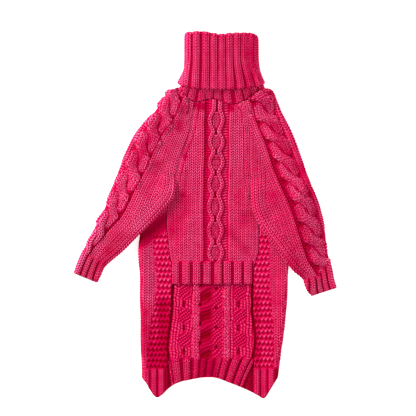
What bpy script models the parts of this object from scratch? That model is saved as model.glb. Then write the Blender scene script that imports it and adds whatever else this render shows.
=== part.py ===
"""A cable-knit dog sweater, laid out flat with its belly side up.

X runs across the sweater, Y from the hem to the neck and Z up from the surface that it lies on.
The tables and sizes are in millimetres; the meshes are in metres.

Each piece is a wall of knitted cloth. A function works out the middle of the wall as a grid of
rows and columns, and cloth() gives it its thickness. Cables, ribs and purl gutters are thickness
that is added to, or taken from, the side on which the knitting has them.
"""
import math

import bmesh
import bpy
import numpy as np

MM = 0.001
CLOTH = 3.0          # thickness of plain knitting
HALF = CLOTH / 2
SEAM = 0.4           # gap between two pieces that are sewn together
LAYER = 0.6          # air between two layers that lie on each other
UPPER = CLOTH + LAYER + HALF   # height of the middle of the upper layer of the body

ARMPIT = 11.0        # y where the side flaps begin, at the fold
FLAP_RISE = 13.0     # the flap's top edge is this much higher at the belly than at the fold
SLEEVE_ON_FLAP = 7.5  # height at which a sleeve rests on the flap

CORD = 1.7           # height of the two cords of the belly's wave cable
CORD_HALF = 2.1      # half of a cord's width
DIAMOND = 0.5        # height of the knitting inside the wave cable's diamonds
GUTTER = 0.9         # depth of the purl gutters beside a cable
GUTTER_IN = 11.5     # the belly's gutters lie this far from the cable's middle
GUTTER_OUT = 17.5
RIB = 1.5            # height of the ribs of the hems, cuffs and collar
ROPE = 3.4           # height of the sleeves' rope cable
ROPE_TURN = 57.0     # length in which the two strands of the rope turn once
ROPE_HALF = 13.5     # half of the rope's width
COLLAR_RIBS = 20     # ribs all round the collar, of three columns each
COLLAR_COLUMNS = (26, 4, 26, 4)   # columns on the front, round the right side, on the back and left
COLLAR_TOP = 238.5   # y of the collar's upper fold

SMOOTHING = 0.7      # faces that meet at less than this angle, in degrees, become one

PINK = (0.604, 0.014, 0.094, 1.0)


def table(names, *rows):
    """A short table as a dictionary of named columns."""
    return {name: [row[i] for row in rows] for i, name in enumerate(names.split())}


BELLY = table(
    "y left right",
    (145.0, -15.5, 47.0),
    (140.0, -16.5, 52.0),
    (134.5, -17.5, 55.5),
    (123.0, -20.0, 57.5),
    (112.5, -21.5, 59.0),
    (101.0, -24.5, 59.5),
    (85.0, -31.0, 59.5),
    (71.0, -35.5, 59.5),
    (55.0, -39.5, 60.0),
    (36.0, -44.0, 63.0),
    (24.0, -46.5, 67.0),
    (8.5, -49.0, 70.0),
    (-12.5, -50.0, 69.5),
    (-33.0, -48.0, 69.5),
    (-47.5, -46.5, 69.0),
    (-65.5, -43.5, 64.0),
    (-90.5, -43.0, 62.0),
)
# The cords of the wave cable touch at these places, with a diamond between each two.
CABLE_KNOTS = (137.0, 107.0, 81.0, 54.0, 25.5, -6.0, -36.0, -63.0)
CABLE_SPREAD = 8.6   # the cords' greatest distance from the middle
CABLE_TOUCH = 2.3
BELLY_HEM = -62.0    # y where the belly's ribbed hem begins
BELLY_END = -90.5
RIB_X = (-38.5, -24.5, -11.5, 3.0, 17.0, 29.0, 43.0, 55.5)
RIB_HALF = 4.2       # half of a rib's width

BACK = table(
    "y left right",
    (156.5, -31.5, 73.5),
    (136.0, -39.5, 80.0),
    (110.0, -47.5, 88.0),
    (84.0, -55.0, 95.5),
    (58.0, -63.0, 102.0),
    (32.0, -70.5, 107.5),
    (11.0, -77.0, 110.0),
    (-12.5, -82.5, 110.5),
    (-30.5, -85.5, 110.0),
    (-47.5, -87.0, 109.5),
    (-62.0, -86.5, 108.5),
    (-77.5, -85.0, 107.5),
    (-108.5, -85.0, 106.5),
    (-132.0, -84.0, 104.5),
    (-155.5, -84.0, 102.0),
    (-179.0, -83.5, 98.5),
    (-194.5, -82.5, 96.5),
    (-206.0, -82.0, 94.5),
)
FLAP_EDGE = table(
    "y left right",
    (-90.9, -43.6, 62.8),
    (-108.5, -44.5, 62.6),
    (-125.5, -45.0, 62.5),
    (-140.0, -46.5, 64.5),
    (-151.5, -48.0, 66.0),
    (-171.0, -50.0, 66.0),
    (-184.0, -49.5, 64.0),
    (-195.5, -49.0, 62.5),
    (-212.5, -48.5, 64.0),
)
HEM = table(
    "x y",
    (-83.5, -206.0),
    (-77.0, -218.0),
    (-72.0, -227.0),
    (-64.0, -237.5),
    (-56.5, -234.5),
    (-48.5, -227.0),
    (-41.0, -221.5),
    (-33.0, -218.0),
    (-20.0, -215.0),
    (-2.0, -212.0),
    (14.0, -212.5),
    (29.5, -218.0),
    (45.0, -224.0),
    (60.5, -231.0),
    (68.5, -235.0),
    (77.0, -238.5),
    (84.0, -228.0),
    (92.0, -214.5),
    (95.5, -207.0),
)
HEM_ROWS = -185.0    # below this y the rows bend to follow the hem
HEM_RIBS = -205.0
# The wrong side of the back's cables, seen below the belly: rib lines and rows of crossings.
BACK_LINE_X = (-11.5, 29.0, 58.5)
BACK_LINE = 1.1      # height of a rib line
BACK_LINE_HALF = 3.0
BACK_SWELL = 1.3     # height of the cables' swellings
WINDOW_X = (-42.0, 60.0)
BACK_CABLE = table("x half shift", (-28.0, 11.0, -4.0), (9.0, 14.0, 8.0), (44.5, 9.0, -6.0))
CROSSING = 29.0      # length between two crossings of the back's cables
FLAP_RIB_X = (-64.0, -54.5, 68.5, 79.0)
FLAP_COLUMNS = 8
MOSS = 0.4           # height of the moss-stitch strip on each flap
MOSS_MIDDLE = 8.5    # the two strips lie evenly about this x
MOSS_AWAY = 62.0
MOSS_HALF = 9.0
TIGHT_FOLD = 0.4     # inner radius of the back's side fold under a sleeve
ROUND_FOLD = 1.8     # and below the sleeve
TURN_ANGLES = (60.0, 120.0)

# Each row is one course of the sleeve, from its outer fold to its inner edge. rope is the place
# of the rope cable's middle round the sleeve from the outer fold, positive on the upper side.
SLEEVE_LEFT = table(
    "row outer_x outer_y inner_x inner_y rope",
    (0, -48.5, 157.5, -15.5, 144.5, 11.0),
    (1, -57.5, 149.0, -18.5, 128.0, 12.5),
    (2, -66.0, 134.5, -22.0, 110.0, 14.5),
    (3, -80.0, 119.0, -28.0, 92.5, 19.0),
    (4, -92.0, 102.5, -34.0, 75.0, 22.0),
    (5, -100.5, 86.5, -39.5, 56.0, 22.5),
    (6, -107.0, 71.0, -44.0, 39.0, 20.2),
    (7, -112.5, 55.0, -49.0, 24.0, 17.0),
    (8, -119.0, 39.5, -57.0, 9.0, 14.6),
    (9, -125.5, 24.0, -68.0, -6.5, 12.0),
    (10, -130.5, 8.5, -80.5, -21.0, 7.2),
    (11, -139.0, -7.0, -93.5, -34.5, 2.0),
    (12, -146.0, -23.0, -106.5, -47.5, -3.8),
    (13, -152.5, -36.0, -119.0, -58.0, -7.6),
    (14, -161.0, -51.5, -129.0, -67.0, -10.0),
    (15, -166.5, -64.5, -135.5, -78.0, -12.0),
    (16, -170.5, -76.5, -142.0, -88.0, -13.0),
)
SLEEVE_RIGHT = table(
    "row outer_x outer_y inner_x inner_y rope",
    (0, 86.5, 160.0, 49.0, 144.5, 16.7),
    (1, 91.5, 151.0, 54.5, 134.0, 18.5),
    (2, 96.5, 138.5, 58.0, 119.5, 20.5),
    (3, 105.0, 121.5, 59.5, 102.0, 22.0),
    (4, 113.0, 105.5, 59.5, 86.5, 23.0),
    (5, 120.5, 86.5, 59.5, 68.0, 24.0),
    (6, 126.0, 71.0, 60.0, 51.5, 24.0),
    (7, 131.0, 55.0, 63.0, 36.0, 22.8),
    (8, 136.5, 41.0, 66.5, 20.0, 21.5),
    (9, 142.0, 27.5, 66.0, 4.5, 20.0),
    (10, 147.0, 14.5, 71.5, -11.0, 19.7),
    (11, 150.5, 2.0, 80.5, -27.0, 19.6),
    (12, 154.0, -12.5, 90.5, -41.5, 19.3),
    (13, 155.5, -29.0, 102.0, -58.0, 16.0),
    (14, 158.0, -45.0, 114.0, -73.0, 12.8),
    (15, 160.5, -56.5, 125.5, -83.0, 9.0),
    (16, 164.0, -69.5, 131.0, -93.0, 5.0),
    (17, 166.5, -82.5, 134.5, -101.0, 2.0),
    (18, 170.5, -95.5, 137.5, -106.0, 0.0),
)
SLEEVE_ROWS = 60
# Columns round a sleeve: the inner turn, the inner and outer parts of the under side, the outer
# turn, the rope, its gutter, the rest of the upper side and the inner turn again.
SLEEVE_COLUMNS = (2, 3, 3, 3, 8, 2, 3, 2)
TIGHT_RAMP = 26.0    # length in which the cloth comes up onto the flap beside the belly
SOFT_RAMP = 46.0     # and away from it
FOLD_RADIUS = 2.7    # radius of the middle of the cloth where a sleeve folds
STRAND_HALF = 7.6    # half the width of one strand of the rope
STRAND_SWING = 6.0   # how far a strand swings from the rope's middle
CUFF_RIB = 8.6       # width of one rib of a cuff with the gutter beside it

# The seam of the collar on the upper side, out to the sleeves' folds.
NECK = table(
    "x y",
    (-49.0, 159.0),
    (-35.5, 153.5),
    (-25.0, 149.8),
    (-15.5, 146.6),
    (0.0, 146.0),
    (25.0, 146.0),
    (44.0, 146.4),
    (54.0, 149.0),
    (64.5, 153.5),
    (76.5, 158.5),
    (87.0, 162.0),
)
# The collar's rings, from the seam up the inner tube, over the fold and down the outer tube.
# left and right are the outside of the tube; front and back are heights of the cloth's middle.
# y is the ring's place in the middle of the front; left_y, right_y and back_y are its other sides.
COLLAR_IN = table(
    "row y left_y right_y back_y left right front back",
    (0, 146.0, 153.5, 158.5, 158.3, -35.5, 76.5, 5.1, 1.5),
    (1, 149.5, 156.0, 160.3, 160.5, -35.3, 76.5, 5.2, 1.5),
    (2, 155.0, 160.0, 163.5, 164.5, -34.5, 76.0, 7.2, 3.2),
    (3, 161.0, 165.5, 167.5, 169.5, -31.0, 73.5, 9.8, 4.9),
    (4, 168.0, 171.0, 172.5, 175.0, -27.0, 69.0, 10.2, 5.1),
    (5, 190.0, 190.0, 190.0, 190.0, -22.5, 65.0, 10.2, 5.1),
    (6, 235.2, 235.2, 235.2, 235.2, -21.0, 61.0, 10.2, 5.1),
)
COLLAR_OUT = table(
    "row y left_y right_y back_y left right front back",
    (0, 235.2, 235.2, 235.2, 235.2, -25.5, 65.5, 13.8, 1.5),
    (1, 219.0, 219.0, 219.0, 219.0, -27.0, 67.5, 13.8, 1.5),
    (2, 200.0, 200.0, 200.0, 200.0, -27.0, 68.5, 13.8, 1.5),
    (3, 186.0, 187.0, 187.0, 187.0, -27.4, 70.0, 14.0, 1.5),
    (4, 173.0, 176.0, 176.5, 177.0, -31.5, 74.0, 14.5, 1.5),
    (5, 160.5, 166.0, 167.0, 170.0, -35.5, 79.0, 15.2, 1.5),
)
TURN_STEPS = 4       # rows over the collar's upper fold
TURN_THINNING = 0.9  # the cloth is pressed thinner on the inside of that fold
SIDE_THINNING = 0.7  # and on the inside of the inner tube's sides


def read(source, name, at):
    """One column of a table as a smooth curve over the table's first column."""
    key = np.asarray(source[next(iter(source))], float)
    value = np.asarray(source[name], float)
    if key[0] > key[-1]:
        key, value = key[::-1], value[::-1]
    at = np.clip(at, key[0], key[-1])
    slope = np.gradient(value, key)
    i = np.clip(np.searchsorted(key, at) - 1, 0, len(key) - 2)
    width = key[i + 1] - key[i]
    t = (at - key[i]) / width
    ends = (1 + 2 * t) * (1 - t) ** 2 * value[i] + t * t * (3 - 2 * t) * value[i + 1]
    bends = t * (1 - t) ** 2 * slope[i] - t * t * (1 - t) * slope[i + 1]
    return ends + width * bends


def step(low, high, at):
    """0 below low, 1 above high and smooth between them."""
    t = np.clip((at - low) / (high - low), 0.0, 1.0)
    return t * t * (3 - 2 * t)


def mix(a, b, t):
    return a + (b - a) * t


def bump(distance, half):
    """1 in the middle of a ridge, rounded down to 0 at half its width."""
    return np.sqrt(np.clip(1 - (distance / half) ** 2, 0.0, 1.0))


def ridges(x, centres, half):
    """Rounded ridges of equal width at the given places."""
    return np.max([bump(x - centre, half) for centre in centres], axis=0)


def normals(points, present, closed):
    """The grid's normals at its points, from the faces that are there."""
    total = np.zeros_like(points)
    rows, columns = present.shape
    for i in range(rows):
        for j in range(columns):
            if not present[i, j]:
                continue
            k = (j + 1) % points.shape[1] if closed else j + 1
            across = points[i + 1, k] - points[i, j]
            along = points[i + 1, j] - points[i, k]
            face = np.cross(along, across)
            for corner in ((i, j), (i, k), (i + 1, j), (i + 1, k)):
                total[corner] += face
    length = np.linalg.norm(total, axis=2, keepdims=True)
    return total / np.where(length > 0, length, 1)


def cloth(name, points, present, over, under, closed=False):
    """A closed wall about a grid of middle points, as a mesh object.

    over and under are the wall's thickness to each side of the middle, in mm. present says which
    faces of the grid are there, and every edge of the cloth gets a rim.
    """
    normal = normals(points, present, closed)
    sides = (points + normal * over[..., None], points - normal * under[..., None])
    mesh = bmesh.new()
    made = {}

    def corner(side, i, j):
        if (side, i, j) not in made:
            made[side, i, j] = mesh.verts.new(sides[side][i, j] * MM)
        return made[side, i, j]

    edges = set()
    for i, j in zip(*np.nonzero(present)):
        k = (j + 1) % points.shape[1] if closed else j + 1
        loop = ((i, j), (i, k), (i + 1, k), (i + 1, j))
        mesh.faces.new([corner(0, *c) for c in loop])
        mesh.faces.new([corner(1, *c) for c in reversed(loop)])
        edges.update(zip(loop, loop[1:] + loop[:1]))
    for a, b in edges:
        if (b, a) not in edges:
            mesh.faces.new((corner(0, *a), corner(1, *a), corner(1, *b), corner(0, *b)))
    bmesh.ops.recalc_face_normals(mesh, faces=mesh.faces[:])
    mesh.normal_update()
    bmesh.ops.dissolve_limit(
        mesh, angle_limit=math.radians(SMOOTHING), verts=mesh.verts[:], edges=mesh.edges[:]
    )
    data = bpy.data.meshes.new(name)
    mesh.to_mesh(data)
    mesh.free()
    data.shade_smooth()
    data.set_sharp_from_angle(angle=math.radians(40))
    return bpy.data.objects.new(name, data)


def spread(stations, counts):
    """Columns between stations, each stretch divided evenly into its count."""
    parts = [stations[0][..., None]]
    for start, end, count in zip(stations, stations[1:], counts):
        t = np.arange(1, count + 1) / count
        parts.append(start[..., None] + (end - start)[..., None] * t)
    return np.concatenate(parts, axis=-1)


def cable_offset(y):
    """Distance of each cord of the wave cable from the cable's middle."""
    knots = np.array(CABLE_KNOTS[::-1])
    place = np.interp(y, knots, np.arange(len(knots)))
    wave = 0.5 - 0.5 * np.cos(2 * math.pi * place)
    return CABLE_TOUCH + (CABLE_SPREAD - CABLE_TOUCH) * wave ** 0.8


def cable_middle(y):
    return 13.6 + 0.004 * y


def belly_relief(x, y):
    """Cords and diamonds of the wave cable, its gutters and the ribs of the hem."""
    away = np.abs(x - cable_middle(y))
    offset = cable_offset(y)
    cord = CORD * bump(away - offset, CORD_HALF)
    inside = DIAMOND * step(0.5, 3.0, offset - CORD_HALF - away)
    gutter = -GUTTER * step(GUTTER_IN - 1, GUTTER_IN + 1, away) * step(GUTTER_OUT, GUTTER_OUT - 2, away)
    hem = step(BELLY_HEM + 4, BELLY_HEM - 2, y)
    rib = RIB * ridges(x, RIB_X, RIB_HALF)
    return mix(np.maximum(cord, inside) + gutter, rib, hem)


def make_belly():
    """The belly's columns follow the cords of its cable, and spread evenly into the hem's ribs."""
    y = np.concatenate((np.linspace(BELLY["y"][0], BELLY_HEM, 35), (-67.0, -80.0, BELLY_END)))
    left, right = read(BELLY, "left", y), read(BELLY, "right", y)
    middle, offset = cable_middle(y), cable_offset(y)
    inner, outer = offset - CORD_HALF, offset + CORD_HALF
    cable_x = spread(
        (left, middle - GUTTER_OUT, middle - GUTTER_IN, middle - outer, middle - offset,
         middle - inner, middle, middle + inner, middle + offset, middle + outer,
         middle + GUTTER_IN, middle + GUTTER_OUT, right),
        (5, 2, 2, 2, 2, 2, 2, 2, 2, 2, 2, 7),
    )
    even = np.linspace(0, 1, cable_x.shape[1])
    hem_x = left[:, None] + (right - left)[:, None] * even
    x = mix(cable_x, hem_x, step(BELLY_HEM + 12, BELLY_HEM, y)[:, None])
    y = np.broadcast_to(y[:, None], x.shape)
    points = np.stack((x, y, np.full(x.shape, UPPER)), axis=-1)
    over = HALF + belly_relief(x, y)
    under = np.full(x.shape, HALF)
    present = np.ones((x.shape[0] - 1, x.shape[1] - 1), bool)
    return cloth("belly", points, present, over, under)


def back_relief(x, y):
    """The wrong side of the back's cables, where it shows between the flaps."""
    lines = BACK_LINE * ridges(x, BACK_LINE_X, BACK_LINE_HALF)
    cables = np.zeros_like(x)
    for middle, half, shift in zip(*(BACK_CABLE[n] for n in ("x", "half", "shift"))):
        turn = np.cos(2 * math.pi * (y - shift) / CROSSING)
        cables += BACK_SWELL * bump(x - middle, half) * (0.55 + 0.45 * turn)
    ribs = RIB * ridges(x, RIB_X, RIB_HALF)
    hem = step(HEM_RIBS + 12, HEM_RIBS + 4, y)
    low, high = WINDOW_X
    window = step(BELLY_END, BELLY_END - 6, y) * step(low - 6, low, x) * step(high + 6, high, x)
    return mix(np.maximum(lines, cables), ribs, hem) * window


def fold_radius(y, side):
    """Radius of the middle of the back's cloth at its side fold: tight under a sleeve."""
    start, end = (-15.0, -40.0) if side < 0 else (-66.0, -90.0)
    return HALF + mix(TIGHT_FOLD, ROUND_FOLD, step(start, end, y))


def flap(y, side):
    """A flap's columns, from its inner edge to its fold, as x, y and z."""
    name = "left" if side < 0 else "right"
    radius = fold_radius(y, side)
    fold_x = read(BACK, name, y) - side * (HALF + radius)
    risen = y + FLAP_RISE * step(ARMPIT - 45, ARMPIT, y)
    sewn = read(BELLY, name, risen) + side * SEAM
    edge = np.where(risen > BELLY_END - SEAM, sewn, read(FLAP_EDGE, name, risen))
    t = np.linspace(0, 1, FLAP_COLUMNS)
    x = edge[:, None] + (fold_x - edge)[:, None] * t
    near_fold = step(16.0, 0.0, np.abs(x - fold_x[:, None]))
    z = mix(UPPER, HALF + 2 * radius[:, None], near_fold)
    return np.array((x, mix(risen[:, None], y[:, None], t), z))


def side_turn(y, side):
    """The columns round a side fold, from the flap down to the floor."""
    radius = fold_radius(y, side)[:, None]
    turn = np.radians(TURN_ANGLES)
    name = "left" if side < 0 else "right"
    x = read(BACK, name, y)[:, None] - side * (HALF + radius - radius * np.sin(turn))
    z = HALF + radius + radius * np.cos(turn)
    return np.array((x, np.broadcast_to(y[:, None], x.shape), z))


def floor_part(y):
    """The columns of the back that lie on the floor, close together where the cables show."""
    left, right = read(BACK, "left", y), read(BACK, "right", y)
    wrapped = y < ARMPIT + 0.001
    left = left + np.where(wrapped, HALF + fold_radius(y, -1), 0)
    right = right - np.where(wrapped, HALF + fold_radius(y, 1), 0)
    low, high = WINDOW_X
    window = (left, np.maximum(low - 6, left + 6), np.full_like(y, low),
              np.full_like(y, high), np.minimum(high + 6, right - 6), right)
    narrow = y > 60
    stations = [
        np.where(narrow, mix(left, right, share), place)
        for place, share in zip(window, (0, 0.1, 0.2, 0.8, 0.9, 1.0))
    ]
    x = spread(stations, (2, 2, 26, 2, 2))
    return np.array((x, np.broadcast_to(y[:, None], x.shape), np.full(x.shape, HALF)))


def make_back():
    y = np.concatenate((
        np.linspace(BACK["y"][0], ARMPIT, 10),
        np.linspace(ARMPIT - 8, BELLY_END + 2.5, 13),
        np.linspace(BELLY_END - 2.5, HEM_ROWS, 15),
        np.linspace(HEM_ROWS, HEM["y"][0], 5)[1:],
    ))
    parts = (flap(y, -1), side_turn(y, -1), floor_part(y),
             side_turn(y, 1)[:, :, ::-1], flap(y, 1)[:, :, ::-1])
    x, rows, z = np.concatenate(parts, axis=2)
    bend = np.clip((HEM_ROWS - rows) / (HEM_ROWS - HEM["y"][0]), 0, 1)
    rows = np.where(bend > 0, mix(HEM_ROWS, read(HEM, "y", x), bend), rows)
    on_flap = np.zeros(x.shape, bool)
    on_flap[:, :FLAP_COLUMNS] = on_flap[:, -FLAP_COLUMNS:] = True
    moss = MOSS * step(-27.0, -32.0, rows) * bump(np.abs(x - MOSS_MIDDLE) - MOSS_AWAY, MOSS_HALF)
    ribs = RIB * ridges(x, FLAP_RIB_X, RIB_HALF)
    shown = mix(moss, ribs, step(HEM_RIBS + 10, HEM_RIBS, rows))
    over = HALF + np.where(on_flap, 0.0, back_relief(x, rows))
    under = HALF + np.where(on_flap, shown, 0.0)
    present = np.ones((x.shape[0] - 1, x.shape[1] - 1), bool)
    wrap = FLAP_COLUMNS + len(TURN_ANGLES)
    above = y[:-1] > ARMPIT + 0.001
    present[above, :wrap] = present[above, -wrap:] = False
    return cloth("back", np.stack((x, rows, z), axis=-1), present, over, under)


def support(x, y, side, ramp):
    """Height on which a sleeve lies: the floor, or the body's flap with a soft way up to it."""
    name = "left" if side < 0 else "right"
    from_fold = (read(BACK, name, y) - x) * side
    corner = read(BACK, name, ARMPIT)
    reach = abs(read(BELLY, name, ARMPIT + FLAP_RISE) - corner)
    flap_top = ARMPIT + FLAP_RISE * np.abs(x - corner) / reach
    inside = np.minimum(from_fold, flap_top - y)
    return SLEEVE_ON_FLAP * step(-ramp, -4.0, inside)


def rope_relief(away, phase):
    """Two strands that twist about each other; away is the distance from the rope's middle."""
    height = np.zeros_like(away)
    for strand in (0.0, math.pi):
        turn = phase + strand
        centre = STRAND_SWING * np.sin(turn)
        lift = 0.6 + 0.4 * np.cos(turn)
        height = np.maximum(height, lift * bump(away - centre, STRAND_HALF))
    return ROPE * height


def way_to_edge(start, course, furthest, edge, side):
    """Distance along each course of a sleeve to an edge of the body, less the seam."""
    name = "left" if side < 0 else "right"
    near, far = np.zeros_like(furthest), furthest
    for _ in range(24):
        half = (near + far) / 2
        x, y = start[0] + course[0] * half, start[1] + course[1] * half
        beyond = (read(edge, name, y) + side * SEAM * 1.2 - x) * side > 0
        near, far = np.where(beyond, near, half), np.where(beyond, half, far)
    return near


def sleeve_grid(source, row, side, sewn_to, joined):
    """Middle points of a sleeve's courses, and the place of each point round the sleeve.

    The place is 0 at the outer fold and positive on the upper side. The upper side is sewn to
    the belly down to the row sewn_to. The sleeve is a closed tube from the row joined; above it
    the under side ends at the back.
    """
    o_x, o_y, i_x, i_y, rope = (
        read(source, n, row) for n in ("outer_x", "outer_y", "inner_x", "inner_y", "rope")
    )
    width = np.hypot(i_x - o_x, i_y - o_y)
    course = (i_x - o_x) / width, (i_y - o_y) / width
    sewn = row < sewn_to
    to_belly = way_to_edge((o_x, o_y), course, width + 8, BELLY, side)
    to_back = way_to_edge((o_x, o_y), course, width, BACK, side)
    width = np.where(sewn, to_belly, width)
    quarter = math.pi / 2 * FOLD_RADIUS
    edge = HALF + FOLD_RADIUS
    around = quarter * 2 + width - 2 * edge
    upper_end = np.where(sewn, quarter + width - edge, around - quarter)
    fold_end = -around + quarter
    under_end = np.where(row < joined, -(quarter + to_back - edge), fold_end * 0.75)
    under_end = np.maximum(under_end, fold_end + 0.5)
    low = np.maximum(np.minimum(-quarter - 1.5, rope - ROPE_HALF - 4), under_end + 2.0)
    rope_low = np.maximum(rope - ROPE_HALF - 0.5, low + 2.0)
    rope_high = np.minimum(rope + ROPE_HALF + 0.5, upper_end - 3.0)
    gutter_end = np.minimum(rope + ROPE_HALF + 4.5, upper_end - 1.5)
    top = np.maximum(around, upper_end + 1)
    place = spread(
        (-around, fold_end, under_end, low, rope_low, rope_high, gutter_end, upper_end, top),
        SLEEVE_COLUMNS,
    )
    r, w, far = FOLD_RADIUS, width[:, None], around[:, None]
    distance = np.abs(place)
    outer_turn = np.clip(distance / r, 0, math.pi / 2)
    inner_turn = np.clip((far - distance) / r, 0, math.pi / 2)
    from_outer = HALF + r * (1 - np.cos(outer_turn)) + np.clip(distance - quarter, 0, None)
    from_inner = w - HALF - r * (1 - np.cos(inner_turn))
    free = ~sewn[:, None]
    at_inner = free & (far - distance < quarter)
    d = np.where(at_inner, from_inner, from_outer)
    lift = r * np.where(at_inner, np.sin(inner_turn), np.sin(outer_turn))
    slack = (2 * r - CLOTH - LAYER) * step(4.0, 18.0, np.where(free, np.minimum(d, w - d), d))
    x, y = o_x[:, None] + course[0][:, None] * d, o_y[:, None] + course[1][:, None] * d
    tight, soft = support(x, y, side, TIGHT_RAMP), support(x, y, side, SOFT_RAMP)
    upper = mix(tight, soft, step(0.0, 16.0, w - d))
    base = np.where(place > 0, upper, tight) + HALF
    z = np.where(place > 0, base + r + lift - slack, base + r - lift)
    to_neck = read(NECK, "y", x[0]) - SEAM * 3 - y[0]
    y = y + to_neck * step(1.6, 0.0, row)[:, None]
    return np.stack((x, y, z), axis=-1), place, rope[:, None]


def make_sleeve(name, source, side, sewn_to, joined):
    last = source["row"][-1]
    row = np.linspace(0, last, SLEEVE_ROWS)
    points, place, rope = sleeve_grid(source, row, side, sewn_to, joined)
    middle = np.argmin(np.abs(place - rope), axis=1)
    path = points[np.arange(len(row)), middle, :2]
    along = np.concatenate(([0], np.cumsum(np.linalg.norm(np.diff(path, axis=0), axis=1))))
    phase = 2 * math.pi * along[:, None] / ROPE_TURN
    away = place - rope
    cable = rope_relief(away * -side, phase)
    beside = np.abs(away)
    gutter = -GUTTER * step(ROPE_HALF - 1.5, ROPE_HALF + 0.5, beside) * step(19.5, 17.5, beside)
    cuff = step(last - 2.3, last - 1.9, row)[:, None]
    rib = RIB * bump((place / CUFF_RIB % 1.0 - 0.5) * CUFF_RIB, 2.9)
    relief = mix(cable + gutter, rib, cuff)
    points, place, relief = points[:, :-1], place[:, :-1], relief[:, :-1]
    columns = place.shape[1]
    present = np.ones((len(row) - 1, columns), bool)
    ends = np.cumsum(SLEEVE_COLUMNS)
    sewn, open_ = row[:-1] < sewn_to, row[:-1] < joined
    present[np.ix_(open_, range(ends[0], ends[1]))] = False
    present[np.ix_(sewn, range(0, ends[0]))] = False
    present[np.ix_(sewn, range(ends[6], ends[7]))] = False
    if side > 0:
        order = np.concatenate(([0], np.arange(columns - 1, 0, -1)))
        points, relief = points[:, order], relief[:, order]
        present = present[:, ::-1]
    facing = normals(points, present, True)[..., 2]
    over = HALF + relief * step(0.0, 0.6, facing)
    under = np.full(over.shape, HALF)
    return cloth(name, points, present, over, under, closed=True)


def collar_ring(source, row, at_seam=False):
    """Middle points of one ring of the collar, from the front left corner round to it again."""
    names = ("y", "left_y", "right_y", "back_y", "left", "right", "front", "back")
    y, left_y, right_y, back_y, left, right, front, back = (read(source, n, row) for n in names)
    radius = (front - back) / 2
    x0, x1 = left + HALF + radius, right - HALF - radius
    straight, half_round = x1 - x0, math.pi * radius
    lengths = (straight, half_round, straight, half_round)
    column = np.arange(sum(COLLAR_COLUMNS))
    place = np.interp(column, np.cumsum((0,) + COLLAR_COLUMNS), np.cumsum((0,) + lengths))
    right_turn = np.clip((place - straight) / radius, 0, math.pi)
    left_turn = np.clip((place - 2 * straight - half_round) / radius, 0, math.pi)
    on_front = np.clip(place, 0, straight)
    on_back = np.clip(place - straight - half_round, 0, straight)
    x = x0 + on_front - on_back + radius * (np.sin(right_turn) - np.sin(left_turn))
    z = back + radius + radius * np.cos(right_turn + left_turn)
    sideways = np.clip(2 * (x - (x0 + x1) / 2) / (right - left), -1, 1)
    side_y = np.where(sideways < 0, left_y, right_y)
    front_y = mix(y, side_y, np.abs(sideways) ** 2.4)
    if at_seam:
        front_y = read(NECK, "y", x)
    upper = (z - back) / (front - back)
    return np.stack((x, mix(back_y, front_y, upper), z), axis=-1)


def make_collar():
    rings = [collar_ring(COLLAR_IN, 0, True)]
    rings += [collar_ring(COLLAR_IN, row) for row in (1, 2, 3, 4, 5, 6)]
    inner, outer = rings[-1], collar_ring(COLLAR_OUT, 0)
    middle, reach = (inner + outer) / 2, COLLAR_TOP - HALF - COLLAR_IN["y"][-1]
    for k in range(1, TURN_STEPS):
        turn = math.pi * k / TURN_STEPS
        ring = middle + (inner - outer) / 2 * math.cos(turn)
        ring[:, 1] += reach * math.sin(turn)
        rings.append(ring)
    rings += [collar_ring(COLLAR_OUT, row) for row in (0, 0.5, 2, 3, 3.6, 4.3, 5)]
    points = np.array(rings)
    ribs = RIB * np.tile((0.0, 1.0, 1.0), COLLAR_RIBS)[None, :]
    row = np.arange(len(rings))[:, None]
    shown = step(6, 9, row)
    band = step(3, 1, row)
    present = np.ones((len(rings) - 1, sum(COLLAR_COLUMNS)), bool)
    facing = normals(points, present, True)[..., 2]
    pressed = SIDE_THINNING * step(0.9, 0.4, np.abs(facing)) * (row < 6)
    over = HALF - pressed + ribs * shown * step(-0.6, 0.2, facing)
    turning = (row > 6) & (row < 6 + TURN_STEPS)
    under = HALF - TURN_THINNING * turning + ribs * 0.8 * band * step(0.6, -0.2, facing)
    return cloth("collar", points, present, over, under, closed=True)


def wool(name):
    """The pink wool of one piece."""
    material = bpy.data.materials.new(name + "_wool")
    material.use_nodes = True
    shader = material.node_tree.nodes["Principled BSDF"]
    shader.inputs["Base Color"].default_value = PINK
    shader.inputs["Roughness"].default_value = 0.95
    shader.inputs["Metallic"].default_value = 0.0
    material.diffuse_color = PINK
    return material


def centre_on_floor(pieces):
    """Moves the meshes so that the middle of their base is the origin."""
    points = np.concatenate([[v.co for v in piece.data.vertices] for piece in pieces])
    low, high = points.min(axis=0), points.max(axis=0)
    shift = np.array(((low[0] + high[0]) / 2, (low[1] + high[1]) / 2, low[2]))
    for piece in pieces:
        for vertex in piece.data.vertices:
            vertex.co = vertex.co - type(vertex.co)(shift)


def main():
    for old in list(bpy.data.objects):
        bpy.data.objects.remove(old)
    sweater = bpy.data.collections.new("dog_sweater")
    bpy.context.scene.collection.children.link(sweater)
    pieces = [
        make_back(),
        make_belly(),
        make_sleeve("sleeve_left", SLEEVE_LEFT, -1, 7.1, 10),
        make_sleeve("sleeve_right", SLEEVE_RIGHT, 1, 8.4, 11),
        make_collar(),
    ]
    centre_on_floor(pieces)
    for piece in pieces:
        piece.data.materials.append(wool(piece.name))
        sweater.objects.link(piece)


main()
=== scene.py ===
"""The looks of a cable-knit dog sweater that lies flat on a pale floor, belly side up.

Every piece is a wall of knitting whose two faces carry the stitches themselves where they show.
Sizes are in millimetres until a mesh is made; X runs across the sweater and Y towards its neck.
"""

import math

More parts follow.
